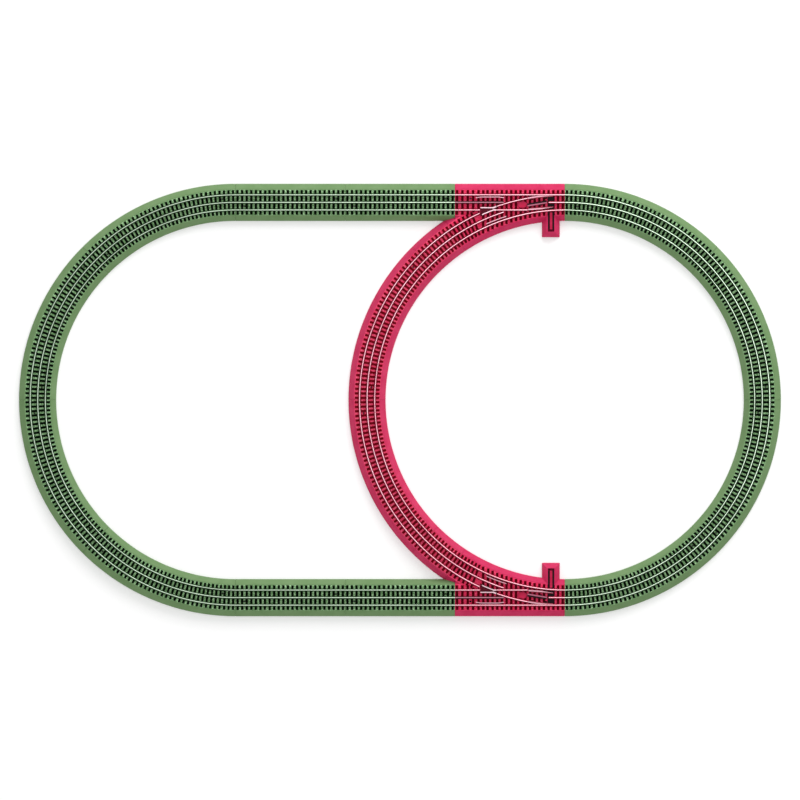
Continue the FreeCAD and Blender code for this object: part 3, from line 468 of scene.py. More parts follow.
def screw_cutters(route, ties, gaps):
    """Holes for the two screws, each as many sleeper gaps in from its end of the section."""
    pitch = route.length / ties
    spots = ((gaps * pitch, -SCREW_OFFSET), (route.length - gaps * pitch, SCREW_OFFSET))
    return [screw_cutter(*spot_on(route, s, u)) for s, u in spots]


def paint_bed(mesh, mask):
    """Stores where the ballast is, and how light each stone is with painted shade in the crevices between
    stones.  mask(x, y) is 1 on ballast.
    """
    co = np.zeros(len(mesh.vertices) * 3)
    mesh.vertices.foreach_get("co", co)
    x, y, z = co.reshape(-1, 3).T
    cover = mask(x, y) * (z > BED_TOP - 0.05 * MM)
    for name, values in (("ballast", cover), ("tone", stones(x, y)[1])):
        attribute = mesh.attributes.new(name, "FLOAT", "POINT")
        attribute.data.foreach_set("value", values.astype(np.float32))
    smooth(mesh, BED_EDGE)


# ---- sleepers ----
def sleeper(x, y, heading, length, width):
    """(points, grain, faces) of a rough-sawn sleeper centred at (x, y) and lying across the heading."""
    width += RNG.normal(0, WIDTH_SPREAD)
    length += RNG.normal(0, LENGTH_SPREAD)
    heading += RNG.normal(0, ANGLE_SPREAD)
    half, low, shoulder = width / 2, BED_TOP - TIE_SINK, TIE_TOP - TIE_EDGE
    across = np.linspace(TIE_EDGE - half, half - TIE_EDGE, GRAIN_LINES)
    top = [(a, TIE_TOP) for a in across]
    section = np.array([(-half, low), (-half, shoulder), *top, (half, shoulder), (half, low)])
    grain = np.concatenate([[0, 0], RNG.uniform(0, GRAIN_DEPTH, GRAIN_LINES), [0, 0]])
    end, inner = length / 2, length / 2 - 4 * TIE_EDGE
    middle = np.linspace(-inner, inner, GRAIN_STEPS)
    along = np.concatenate([[-end, TIE_EDGE - end], middle, [end - TIE_EDGE, end]])
    points = []
    for i, a in enumerate(along):
        shrink = TIE_EDGE if i in (0, len(along) - 1) else 0
        wobble = np.where(grain > 0, RNG.uniform(0, SAW_WOBBLE, len(section)), 0)
        u = section[:, 0] * (1 - shrink / half)
        z = np.minimum(section[:, 1] - grain - wobble, TIE_TOP - shrink)
        points.append(np.stack([u, np.full(u.shape, a), z], 1))
    points = np.array(points)
    grain_space = points.copy() + RNG.uniform(0, 1, 3)
    cos, sin = math.cos(heading), math.sin(heading)
    px, py = points[..., 0].copy(), points[..., 1].copy()
    points[..., 0], points[..., 1] = x + px * cos - py * sin, y + px * sin + py * cos
    return points, grain_space, grid_faces(len(along), len(section))


def spike(x, y, heading):
    """(points, grain, faces) of the moulded head of a spike, on a sleeper beside the rail foot."""
    levels = ((1.0, -SPIKE_SINK), (1.0, 0.6 * SPIKE_HEIGHT), (SPIKE_TAPER, SPIKE_HEIGHT))
    rings = []
    for scale, rise in levels:
        for a, b in ((-1, -1), (1, -1), (1, 1), (-1, 1)):
            u, v = a * scale * SPIKE_WIDTH / 2, b * scale * SPIKE_LENGTH / 2
            rings.append((x + v * math.cos(heading) - u * math.sin(heading),
                          y + v * math.sin(heading) + u * math.cos(heading), TIE_TOP + rise))
    return np.array(rings), np.zeros((len(rings), 3)), grid_faces(len(levels), 4)


def sleeper_mesh(parts):
    """One mesh of many sleepers and spikes, with the grain attribute."""
    points, grains, faces, count = [], [], [], 0
    for verts, grain, quads in parts:
        verts = verts.reshape(-1, 3)
        points.append(verts)
        grains.append(grain.reshape(-1, 3))
        faces += [[count + i for i in quad] for quad in quads]
        count += len(verts)
    mesh = bpy.data.meshes.new("sleepers")
    mesh.from_pydata(np.vstack(points).tolist(), [], faces)
    attribute = mesh.attributes.new("grain", "FLOAT_VECTOR", "POINT")
    attribute.data.foreach_set("vector", np.vstack(grains).astype(np.float32).ravel())
    face_outwards(mesh)
    smooth(mesh, SHARP_EDGE)
    return mesh


def plain_sleepers(route, count, width):
    """The sleepers of a plain section, with two spikes at every rail."""
    parts = []
    for i in range(count):
        s = (i + 0.5) * route.length / count
        heading = route.heading(s)
        parts.append(sleeper(*spot_on(route, s, 0), heading, TIE_LENGTH, width))
        for rail in (-RAIL_OFFSET, 0, RAIL_OFFSET):
            for side in (-1, 1):
                u = rail + side * (RAIL_FOOT + SPIKE_GAP)
                parts.append(spike(*spot_on(route, s + side * SPIKE_STAGGER, u), heading))
    return sleeper_mesh(parts)


# ---- turnout roadbed ----
def main_profile(x, seam):
    """(y, z) round the turnout's main mesh at x, from the loop's -Y side to the straight route's +Y side."""
    line = OUTER_INSET if seam else OUTER
    shoulder = np.sum(OUTER[:, 1] < BED_TOP - TINY) // 2
    right, left = line[:shoulder], line[-shoulder:]
    ends_early = x < SPLIT_X
    edge = loop_y(x, 0.0) if ends_early else loop_y(x, -right[-1][0])
    low_side = np.full(shoulder, edge) if ends_early else loop_y(x, -right[:, 0])
    plateau = np.linspace(edge, left[0][0], PLATEAU_POINTS + 2)[1:-1]
    top = line[shoulder + 2][1]
    outside = np.vstack([np.stack([low_side, right[:, 1]], 1),
                         np.stack([plateau, np.full(plateau.shape, top)], 1), left])
    half = len(INNER) // 2
    under = INNER.copy()
    far = INNER[half:]
    under[half:, 0] = edge + WALL if ends_early else loop_y(x, -far[:, 0])
    return np.vstack([outside, under])


def bed_height(u):
    """Height of a roadbed's outside at u from its centre line."""
    half, top = BED_WIDTH / 2, BED_TOP_WIDTH / 2
    slope = (BED_TOP - BED_LIP) / (half - top)
    return np.clip(BED_TOP - (np.abs(u) - top) * slope, 0, BED_TOP)


def oval_distance(x, y):
    """Distance outwards from the spine of the oval pivot cap."""
    return np.hypot(np.maximum(np.abs(x - PIVOT.x) - CAP_HALF_LENGTH, 0), y - PIVOT.y)


def turnout_mask(x, y):
    """1 where the turnout's top is ballast: not at its edges, the slot, the housing or the pivot cap."""
    radial = CURVE_RADIUS - np.hypot(x, y + CURVE_RADIUS)
    inside = np.minimum(BED_TOP_WIDTH / 2 - y, BED_TOP_WIDTH / 2 - radial)
    slot = np.maximum(np.abs(x - THROW_X) - SLOT_HALF, np.maximum(SLOT_OUTER - y, y - SLOT_INNER))
    housing = np.maximum(np.abs(x - HOUSING_X) - HOUSING_TOP_HALF, y - HOUSING_INNER)
    cover = smoothstep(inside, *BALLAST_EDGE) * smoothstep(slot, *SLOT_EDGE)
    cover = cover * smoothstep(housing, *HOUSING_EDGE)
    return cover * smoothstep(oval_distance(x, y) - CAP_RADIUS, *CAP_EDGE)


def main_bed():
    """The turnout's roadbed from end to end of its straight route, out to the loop's inner shoulder."""
    s = np.unique(np.append(stations(STRAIGHT_LENGTH) - STRAIGHT_LENGTH, (SPLIT_X, SPLIT_X - TINY)))
    rows = np.array([main_profile(x, i in (0, len(s) - 1)) for i, x in enumerate(s)])
    y, z = rows[..., 0], rows[..., 1]
    x = s[:, None] + 0 * y
    on_top = z > BED_TOP - TOP_ZONE
    off_loop = CURVE_RADIUS - np.hypot(x, y + CURVE_RADIUS)
    ceiling = np.maximum(bed_height(y), bed_height(off_loop))
    z = np.where(on_top & (x < SPLIT_X), np.minimum(z, ceiling), z)
    level = z > BED_TOP - TINY
    z = z + level * turnout_mask(x, y) * stones(x, y)[0] * STONE_HEIGHT
    return to_mesh("main", np.stack([x, y, z], 2), grid_faces(len(s), y.shape[1]))


def loop_leg():
    """The loop leg's roadbed.  What lies inside the main mesh is drawn in and lowered, so that one shows."""
    route = Curve(math.pi / 2 + LEG_START, TURNOUT_ANGLE - LEG_START, LOOP_CENTRE)
    mesh = hollow_bed(route)
    for vertex in mesh.vertices:
        x, y, z = vertex.co
        past_middle = y > loop_y(x, 0.0) + LEG_MARGIN and x > LEG_MARGIN - STRAIGHT_LENGTH
        share = 1.0 if past_middle else float(smoothstep(x, SPLIT_X, SPLIT_X + LEG_BLEND))
        radius = math.hypot(x, y + CURVE_RADIUS)
        drawn = CURVE_RADIUS + (radius - CURVE_RADIUS) * (1 - LEG_SHRINK * share)
        vertex.co.x *= drawn / radius
        vertex.co.y = (y + CURVE_RADIUS) * drawn / radius - CURVE_RADIUS
        vertex.co.z = max(0, z - LEG_DROP * share)
    return mesh


def housing_body(wall, low, high, near):
    """The housing's outline, drawn in by the thickness of a wall, from low to high and in to near."""
    foot = wall - HOUSING_REACH
    base, rim = HOUSING_HALF - wall, HOUSING_TOP_HALF - SLOPE_SHARE * wall
    rings = ((base, foot, low), (base, foot, BED_LIP), (rim, foot + HOUSING_END_RUN - LIP_SHARE * wall, high))
    points = []
    for half, far, z in rings:
        left, right = HOUSING_X - half, HOUSING_X + half
        points += [(left, far, z), (right, far, z), (right, near, z), (left, near, z)]
    return to_mesh("housing", points, grid_faces(len(rings), 4))


def housing_shell():
    """The hollow housing over the throw slide."""
    near = MM - BED_TOP_WIDTH / 2
    outside = modified(housing_body(0, 0, BED_TOP - HOUSING_SINK, near), "BEVEL", width=HOUSING_ROUND,
                       segments=3, limit_method="ANGLE", angle_limit=math.radians(HOUSING_CORNER))
    return cut(outside, [housing_body(WALL, -MM, BED_TOP - WALL, near + MM)])


def swung(spot, angle):
    """A spot of the swivel frame turned about its pivot."""
    return PIVOT.xy + Matrix.Rotation(angle, 2) @ (spot - PIVOT.xy)


def swing_box(loop_spot, straight_spot):
    """The opening that a post of the swivel frame swings in, from one route's spot to the other's."""
    xs, ys = zip(loop_spot, straight_spot)
    return block(min(xs) - POST_HALF_LENGTH, max(xs) + POST_HALF_LENGTH,
                 min(ys) - POST_HALF_WIDTH, max(ys) + POST_HALF_WIDTH, BED_TOP / 2, RAIL_TOP)


def post_openings():
    """Openings for the posts under both point blades and under the moving centre rail."""
    boxes = []
    for x in POST_XS:
        on_loop = Vector((x, float(loop_y(x, -RAIL_OFFSET)) - POST_INSET))
        on_straight = Vector((x, POST_INSET - RAIL_OFFSET))
        boxes.append(swing_box(on_loop, swung(on_loop, -SWING)))
        boxes.append(swing_box(swung(on_straight, SWING), on_straight))
    for x in CENTRE_POST_XS:
        share = (x - CENTRE_HEEL.x) / (CENTRE_TIP.x - CENTRE_HEEL.x)
        spot = CENTRE_HEEL.lerp(CENTRE_TIP, share)
        boxes.append(swing_box(spot, swung(spot, -SWING)))
    return boxes


def slot_cutter():
    return block(THROW_X - SLOT_HALF, THROW_X + SLOT_HALF, SLOT_OUTER, SLOT_INNER, SLOT_FLOOR, RAIL_TOP)


def flange_passage():
    """The passage for the slide's flange, through the shoulder that the housing covers."""
    left, right = THROW_X - FLANGE_ROOM, THROW_X + FLANGE_ROOM
    return block(left, right, SLOT_OUTER, SLOT_INNER, SLOT_FLOOR, FLANGE_CEILING)


def turnout_sleeper_xs():
    """Sleeper centres of the straight route: some at a wide pitch at the frog end, then a closer pitch."""
    xs = [FIRST_TIE + WIDE_PITCH * i for i in range(WIDE_TIES)]
    xs += [xs[-1] + CLOSE_PITCH * (i + 1) for i in range(CLOSE_TIES)]
    return [x - STRAIGHT_LENGTH for x in xs]


def turnout_rail_lines():
    """(whether on the loop, offset, first x, last x) of every fixed rail of the turnout."""
    end, side = -STRAIGHT_LENGTH, RAIL_OFFSET
    return ((False, side, end, 0), (True, side, end, 0),
            (False, -side, FROG_START, BLADE_HEEL), (True, -side, FROG_START, BLADE_HEEL),
            (False, -side, end, FROG_END), (True, -side, end, FROG_END),
            (False, 0, ENTRY_CENTRE_END, 0),
            (False, 0, end, EXIT_CENTRE_START), (True, 0, end, EXIT_CENTRE_START))


def turnout_spikes(x):
    """Spikes beside the fixed rails on the sleeper at x."""
    parts = []
    for on_loop, offset, first, last in turnout_rail_lines():
        if not first < x < last or abs(x - THROW_X) < SLOT_HALF + SPIKE_CLEAR:
            continue
        lean = math.asin(x / (CURVE_RADIUS - offset)) if on_loop else 0
        y = float(loop_y(x, offset)) if on_loop else -offset
        for side in (-1, 1):
            parts.append(spike(x, y + side * (RAIL_FOOT + SPIKE_GAP) / math.cos(lean), -lean))
    return parts


def x_reach(mesh):
    xs = [vertex.co.x for vertex in mesh.vertices]
    return min(xs), max(xs)


def sleeper_openings():
    """What sleepers are cut away for: the slide's slot, the pivot cap and the posts."""
    room = CAP_RADIUS + CAP_ROOM
    rings = ((room, BED_TOP - WALL), (room, RAIL_TOP))
    cap_room = turned_shape(PIVOT.x, PIVOT.y, rings, stretch=CAP_HALF_LENGTH)
    return [slot_cutter(), cap_room] + post_openings()


def straight_route_sleepers():
    """(sleepers and spikes left whole, meshes of the sleepers that are cut) of the straight route."""
    half = TIE_LENGTH / 2
    openings = [(hole, *x_reach(hole)) for hole in sleeper_openings()]
    whole, meshes = [], []
    for x in turnout_sleeper_xs():
        bottom = loop_y(x, half) if x > FROG_END else max(-half, loop_y(x, TIE_MEETING - half))
        tie = sleeper(x, (bottom + half) / 2, 0, half - bottom, TIE_WIDTH)
        met = [hole for hole, low, high in openings if low - TIE_WIDTH < x < high + TIE_WIDTH]
        if met:
            mesh = sleeper_mesh([tie])
            for hole in met:
                mesh = cut(mesh, [hole])
            meshes.append(mesh)
        else:
            whole.append(tie)
        whole += turnout_spikes(x)
    return whole, meshes


def loop_leg_sleepers():
    """The loop leg's own sleepers, fanned towards the straight route's."""
    pitch = CURVE_ANGLE / TIES_PER_CURVE
    parts = []
    for i in range(TIES_ON_LOOP_LEG):
        angle = TURNOUT_ANGLE - pitch * (i + 0.5)
        lean = angle - LEG_FAN * (TURNOUT_ANGLE - angle)
        x, y = -CURVE_RADIUS * math.sin(angle), CURVE_RADIUS * (math.cos(angle) - 1)
        parts.append(sleeper(x, y, lean, TIE_LENGTH, TIE_WIDTH_CURVE))
    return parts


def turnout_sleepers():
    whole, meshes = straight_route_sleepers()
    mesh = joined("sleepers", meshes + [sleeper_mesh(whole + loop_leg_sleepers())])
    smooth(mesh, SHARP_EDGE)
    return mesh


def slide_tray():
    """The floor under the throw slide, and the wall that holds it up at the housing's end."""
    left, right = THROW_X - SLOT_HALF - WALL, THROW_X + SLOT_HALF + WALL
    end = SLOT_OUTER - WALL / 2
    base = block(left, right, end, SLOT_INNER + WALL, TRAY_LOW, TRAY_LOW + WALL / 2)
    wall = block(left, right, end - WALL / 2, SLOT_OUTER, TRAY_LOW, BED_TOP - WALL / 2)
    rounding = {"width": TRAY_ROUND, "segments": 2, "limit_method": "ANGLE"}
    return [modified(mesh, "BEVEL", **rounding) for mesh in (base, wall)]


def turnout_bed():
    """The whole moulding of a turnout.  Its screw goes between the third and fourth sleepers."""
    xs = turnout_sleeper_xs()
    pivot_hole = turned_shape(PIVOT.x, PIVOT.y, ((PIVOT_HOLE, BED_TOP / 2), (PIVOT_HOLE, RAIL_TOP)))
    cutters = [slot_cutter(), pivot_hole, screw_cutter((xs[2] + xs[3]) / 2, SCREW_OFFSET)]
    main = cut(cut(main_bed(), cutters + post_openings()), [flange_passage()])
    return joined("turnout", [main, loop_leg(), cut(housing_shell(), [slot_cutter()])] + slide_tray())


# ---- materials ----
# A noise's scale is in waves per metre, and its spread is the part of it that runs from nothing to full.
CLOUD_SPREAD = (0.35, 0.7)
GLOSS_SPREAD = (0.3, 0.7)
TONE_SPREAD = (0.15, 0.95)
STREAK_SPREAD = (0.35, 0.75)
STAIN_SPREAD = (0.45, 0.75)
STAIN_DEPTH = 0.3             # how far the heaviest stain takes the polished metal and its painted highlight towards dull
BED_CLOUDS = 38.0
BED_PORES = 1500.0
BED_PORE_DEPTH = 0.12 * MM
BED_GLOSS = (0.44, 0.58)      # roughness, from one end of the clouds to the other
BED_SHEEN = 0.08
TIE_STREAKS = 1400.0
TIE_STRETCH = 0.09            # scale of the streaks along a sleeper, as a share of that across it
TIE_STREAK_DEPTH = 0.15 * MM
TIE_GLOSS = (0.55, 0.75)
TIE_SHEEN = 0.015
METAL_STAINS = 16.0
METAL_SCRATCHES = 2600.0
METAL_SCRATCH_DEPTH = 0.02 * MM
TRIM_CLOUDS = 60.0
TRIM_PORES = 900.0
TRIM_PORE_DEPTH = 0.05 * MM
TRIM_SHEEN = 0.12


def nodes_of(name):
    """A new material, with its node tree and its shader."""
    material = bpy.data.materials.new(name)
    material.use_nodes = True
    tree = material.node_tree
    return material, tree, tree.nodes["Principled BSDF"]


def add(tree, kind, **settings):
    node = tree.nodes.new(kind)
    for key, value in settings.items():
        if key in node.inputs:
            node.inputs[key].default_value = value
        else:
            setattr(node, key, value)
    return node


def noise(tree, vector, scale, detail=4.0, rough=0.55):
    node = add(tree, "ShaderNodeTexNoise")
    for key, value in (("Scale", scale), ("Detail", detail), ("Roughness", rough)):
        node.inputs[key].default_value = value
    tree.links.new(vector, node.inputs["Vector"])
    return node.outputs["Fac"]


def mixed(tree, factor, first, second):
    """A colour mixed between two, each a colour or an output."""
    node = add(tree, "ShaderNodeMix", data_type="RGBA")
    tree.links.new(factor, node.inputs["Factor"])
    for socket, value in ((node.inputs[6], first), (node.inputs[7], second)):
        if isinstance(value, tuple):
            socket.default_value = (*value, 1)
        else:
            tree.links.new(value, socket)
    return node.outputs[2]


def ranged(tree, value, low, high, out_low, out_high):
    node = add(tree, "ShaderNodeMapRange")
    for i, number in enumerate((low, high, out_low, out_high)):
        node.inputs[i + 1].default_value = number
    tree.links.new(value, node.inputs[0])
    return node.outputs[0]


def bumped(tree, shader, height, distance, strength):
    node = add(tree, "ShaderNodeBump")
    node.inputs["Distance"].default_value = distance
    node.inputs["Strength"].default_value = strength
    tree.links.new(height, node.inputs["Height"])
    tree.links.new(node.outputs["Normal"], shader.inputs["Normal"])


def attribute(tree, name):
    return add(tree, "ShaderNodeAttribute", attribute_name=name)


def roadbed_material(name, plastic, worn, stone_dark, stone_light):
    """Moulded plastic: smooth shoulders, and ballast whose stones differ in tone and are painted darker in
    the crevices between them, as painted shade.
    """
    material, tree, shader = nodes_of(name)
    shader.inputs["Specular IOR Level"].default_value = BED_SHEEN
    place = add(tree, "ShaderNodeTexCoord").outputs["Object"]
    cloudy = noise(tree, place, BED_CLOUDS)
    pores = noise(tree, place, BED_PORES, detail=3.0)
    moulded = mixed(tree, ranged(tree, cloudy, *CLOUD_SPREAD, 0, 1), plastic, worn)
    # the tone attribute holds each stone's own lightness and the painted shade in the crevices between stones
    tone = ranged(tree, attribute(tree, "tone").outputs["Fac"], *TONE_SPREAD, 0, 1)
    stone = mixed(tree, tone, stone_dark, stone_light)
    colour = mixed(tree, attribute(tree, "ballast").outputs["Fac"], moulded, stone)
    tree.links.new(colour, shader.inputs["Base Color"])
    tree.links.new(ranged(tree, cloudy, *GLOSS_SPREAD, *BED_GLOSS), shader.inputs["Roughness"])
    bumped(tree, shader, pores, BED_PORE_DEPTH, 0.5)
    return material


def sleeper_material(name, dark, light):
    """Black moulded wood, with streaks along each sleeper."""
    material, tree, shader = nodes_of(name)
    shader.inputs["Specular IOR Level"].default_value = TIE_SHEEN
    stretch = add(tree, "ShaderNodeMapping", vector_type="POINT")
    stretch.inputs["Scale"].default_value = (1, TIE_STRETCH, 1)
    tree.links.new(attribute(tree, "grain").outputs["Vector"], stretch.inputs["Vector"])
    streaks = noise(tree, stretch.outputs["Vector"], TIE_STREAKS, detail=6.0, rough=0.65)
    colour = mixed(tree, ranged(tree, streaks, *STREAK_SPREAD, 0, 1), dark, light)
    tree.links.new(colour, shader.inputs["Base Color"])
    tree.links.new(ranged(tree, streaks, *GLOSS_SPREAD, *TIE_GLOSS), shader.inputs["Roughness"])
    bumped(tree, shader, streaks, TIE_STREAK_DEPTH, 0.6)
    return material


def metal_material(name, polish_and_highlight, dull, foot, rough_top, rough_side, polish_and_highlight_depth=POLISH_AND_HIGHLIGHT_DEPTH):
    """Metal polished by wheels where it faces up near the rail top, with a painted highlight on that band;
    duller below, partly as painted shade on the sides, and dark at the foot as painted shade.
    """
    material, tree, shader = nodes_of(name)
    shader.inputs["Metallic"].default_value = 1.0
    place = add(tree, "ShaderNodeTexCoord").outputs["Object"]
    stains = noise(tree, place, METAL_STAINS, detail=5.0)
    scratches = noise(tree, place, METAL_SCRATCHES, detail=2.0)
    facing = add(tree, "ShaderNodeSeparateXYZ")
    tree.links.new(add(tree, "ShaderNodeNewGeometry").outputs["Normal"], facing.inputs[0])
    height = add(tree, "ShaderNodeSeparateXYZ")
    tree.links.new(place, height.inputs[0])
    # the band is wheel polish, with a painted highlight on the faces near the top that look straight up
    facing_up_highlight = ranged(tree, facing.outputs["Z"], *RUNNING_BAND_AND_HIGHLIGHT, 0, 1)
    near_top = ranged(tree, height.outputs["Z"], RAIL_TOP - polish_and_highlight_depth, RAIL_TOP - 0.6 * polish_and_highlight_depth, 0, 1)
    worn = add(tree, "ShaderNodeMath", operation="MULTIPLY")
    tree.links.new(facing_up_highlight, worn.inputs[0])
    tree.links.new(near_top, worn.inputs[1])
    stained = mixed(tree, ranged(tree, stains, *STAIN_SPREAD, 0, STAIN_DEPTH), polish_and_highlight, dull)
    # below the band the sides take the dull colour, partly painted shade, and the foot takes painted shade
    above_foot = ranged(tree, height.outputs["Z"], *SHADED_FOOT_BAND, 0, 1)
    unpolished_and_shaded = mixed(tree, above_foot, foot, dull)
    tree.links.new(mixed(tree, worn.outputs[0], unpolished_and_shaded, stained), shader.inputs["Base Color"])
    tree.links.new(ranged(tree, worn.outputs[0], 0, 1, rough_side, rough_top), shader.inputs["Roughness"])
    bumped(tree, shader, scratches, METAL_SCRATCH_DEPTH, 0.35)
    return material


def trim_material(name, colour, worn, roughness):
    """Smooth moulded plastic with a light texture."""
    material, tree, shader = nodes_of(name)
    shader.inputs["Specular IOR Level"].default_value = TRIM_SHEEN
    place = add(tree, "ShaderNodeTexCoord").outputs["Object"]
    cloudy = noise(tree, place, TRIM_CLOUDS)
    pores = noise(tree, place, TRIM_PORES, detail=2.0)
    moulded = mixed(tree, ranged(tree, cloudy, *CLOUD_SPREAD, 0, 1), colour, worn)
    uneven = ranged(tree, cloudy, *GLOSS_SPREAD, roughness - 0.05, roughness + 0.08)
    tree.links.new(moulded, shader.inputs["Base Color"])
    tree.links.new(uneven, shader.inputs["Roughness"])
    bumped(tree, shader, pores, TRIM_PORE_DEPTH, 0.4)
    return material


GREEN_BED = roadbed_material("green_roadbed", (0.135, 0.235, 0.098), (0.160, 0.262, 0.120),
                             (0.085, 0.215, 0.066), (0.54, 0.83, 0.48))
RED_BED = roadbed_material("crimson_roadbed", (0.50, 0.025, 0.090), (0.57, 0.042, 0.118),
                           (0.72, 0.015, 0.080), (0.95, 0.180, 0.300))
TURNOUT_BED = roadbed_material("turnout_roadbed", (0.50, 0.020, 0.086), (0.57, 0.034, 0.113),
                               (0.72, 0.008, 0.070), (0.96, 0.110, 0.235))
GREEN_TIES = sleeper_material("green_section_sleepers", (0.0004, 0.002, 0.0004), (0.0015, 0.006, 0.0015))
LOOP_TIES = sleeper_material("loop_sleepers", (0.10, 0.0005, 0.003), (0.20, 0.002, 0.009))
TURNOUT_TIES = sleeper_material("turnout_sleepers", (0.055, 0.0005, 0.002), (0.13, 0.0015, 0.006))
# In each metal below: first the wheel polish with its painted highlight, then the duller sides that are
# partly painted shade, then the foot, which is painted shade.
RAIL = metal_material("rail_metal", (0.76, 0.92, 0.74), (0.13, 0.20, 0.12), (0.013, 0.036, 0.013),
                      0.22, 0.42)
CRIMSON_RAIL = metal_material("crimson_section_rail_metal", (1.0, 0.66, 0.75), (0.58, 0.065, 0.11),
                              (0.17, 0.010, 0.030), 0.22, 0.42)
FITTING_METAL = metal_material("turnout_rail_metal", (0.62, 0.32, 0.39), (0.35, 0.06, 0.09),
                               (0.17, 0.010, 0.030), 0.32, 0.45)
DULL_RAIL = metal_material("dull_rail_metal", (0.62, 0.28, 0.36), (0.15, 0.06, 0.075), (0.07, 0.010, 0.018),
                           0.4, 0.5, DULL_POLISH_AND_HIGHLIGHT_DEPTH)
CENTRE_BLADE_METAL = metal_material("centre_blade_metal", (0.40, 0.13, 0.19), (0.12, 0.04, 0.055),
                                    (0.07, 0.010, 0.018), 0.4, 0.5, DULL_POLISH_AND_HIGHLIGHT_DEPTH)
# Near-black steel for the slide retainers, seen through the throw slot: painted shade inside the slot.
SHADED_RETAINER_STEEL = metal_material("retainer_steel_with_painted_shade", (0.05, 0.04, 0.042), (0.04, 0.032, 0.034), (0.04, 0.032, 0.034),
                            0.45, 0.55, RAIL_TOP)
FROG_METAL = metal_material("frog_metal", (0.74, 0.50, 0.56), (0.09, 0.011, 0.020), (0.09, 0.011, 0.020),
                            0.30, 0.45)
PLATED = metal_material("plated_steel", (0.62, 0.62, 0.61), (0.55, 0.55, 0.54), (0.55, 0.55, 0.54),
                        0.35, 0.42, RAIL_TOP)
BLACK = trim_material("black_plastic", (0.008, 0.001, 0.003), (0.014, 0.003, 0.006), 0.5)
CRIMSON_TRIM = trim_material("crimson_trim", (0.50, 0.008, 0.055), (0.57, 0.02, 0.085), 0.4)


# ---- pieces ----
def show(name, mesh, material, body="root", replaced=()):
    mesh.materials.clear()
    mesh.materials.append(material)
    piece = bpy.data.objects.new(name, mesh)
    bpy.context.scene.collection.objects.link(piece)
    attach(piece, body)
    if replaced:
        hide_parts(*replaced)
    return piece


def moved(mesh, matrix):
    """A copy of the mesh moved by the matrix, turned right side out if the matrix mirrors it."""
    copy = mesh.copy()
    copy.transform(matrix)
    if matrix.determinant() < 0:
        copy.flip_normals()
    return copy


def placed(angle, x, y):
    return Matrix.Translation((x, y, 0)) @ Matrix.Rotation(angle, 4, "Z")


def sections(kind, route, ties, width, gaps, places):
    """Every copy of one kind of plain section.  Screws go so many sleeper gaps in from its ends, if any."""
    bed = hollow_bed(route)
    if gaps:
        bed = cut(bed, screw_cutters(route, ties, gaps))
    if kind == "straight":
        paint_bed(bed, lambda x, y: ballast_mask(y))
    else:
        paint_bed(bed, lambda x, y: ballast_mask(np.hypot(x, y) - CURVE_RADIUS))
    sleepers = plain_sleepers(route, ties, width)
    if kind in ("straight", "curve"):
        slot, material, tie_material = "green_roadbed", GREEN_BED, GREEN_TIES
    else:
        slot, material, tie_material = "crimson_roadbed", RED_BED, LOOP_TIES
    for i, place in enumerate(places, 1):
        show(f"{kind}_bed_{i}", moved(bed, place), material, replaced=(f"{kind}_roadbed_{i}",))
        show(f"{kind}_sleepers_{i}", moved(sleepers, place), tie_material)


def plain_sections():
    west, east = -HALF_OVAL, HALF_OVAL
    rows = [placed(0, x, y) for y in (CURVE_RADIUS, -CURVE_RADIUS) for x in (west, west + STRAIGHT_LENGTH)]
    sections("straight", Straight(STRAIGHT_LENGTH), TIES_PER_STRAIGHT, TIE_WIDTH, 2, rows)
    curve = Curve(0, CURVE_ANGLE)
    turns = [placed(math.pi / 2 + CURVE_ANGLE * i, west, 0) for i in range(4)]
    turns += [placed(CURVE_ANGLE * i - math.pi / 2, east, 0) for i in range(4)]
    sections("curve", curve, TIES_PER_CURVE, TIE_WIDTH_CURVE, 3, turns)
    inner = [placed(math.pi / 2 + CURVE_ANGLE, east, 0), placed(math.pi, east, 0)]
    sections("loop", curve, TIES_PER_CURVE, TIE_WIDTH_CURVE, 3, inner)
    short = [placed(math.pi / 2 + TURNOUT_ANGLE, east, 0), placed(math.pi + CURVE_ANGLE, east, 0)]
    sections("fitter", Curve(0, FITTER_ANGLE), TIES_PER_CURVE // 4, TIE_WIDTH_CURVE, 0, short)


def turnouts():
    bed, sleepers = turnout_bed(), turnout_sleepers()
    paint_bed(bed, turnout_mask)
    left = placed(0, HALF_OVAL, CURVE_RADIUS)
    for hand, place in (("left", left), ("right", Matrix.Diagonal((1, -1, 1, 1)) @ left)):
        show(f"{hand}_turnout_bed", moved(bed, place), TURNOUT_BED,
             replaced=(f"{hand}_turnout_roadbed",))
        show(f"{hand}_turnout_sleepers", moved(sleepers, place), TURNOUT_TIES)


def copied(node, keep=None):
    """A plain mesh of a CAD node, or of the faces of it that keep(middle) accepts."""
    build = bmesh.new()
    build.from_mesh(frame["nodes"][node].data)
    if keep:
        dropped = [face for face in build.faces if not keep(face.calc_center_median())]
        bmesh.ops.delete(build, geom=dropped, context="FACES")
    bmesh.ops.remove_doubles(build, verts=build.verts, dist=WELD)
    bmesh.ops.dissolve_limit(build, angle_limit=COPLANAR, verts=build.verts, edges=build.edges)
    mesh = bpy.data.meshes.new(node)
    build.to_mesh(mesh)
    build.free()
    if "custom_normal" in mesh.attributes:
        mesh.attributes.remove(mesh.attributes["custom_normal"])
    return mesh


def bevelled(node, name, material, width):
    """A CAD node redrawn with its edges rounded over."""
    mesh = modified(copied(node), "BEVEL", width=width, segments=3, limit_method="ANGLE",
                    angle_limit=math.radians(SHARP_EDGE))
    mesh.shade_flat()
    show(name, mesh, material, frame["nodes"][node]["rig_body"], (node,))


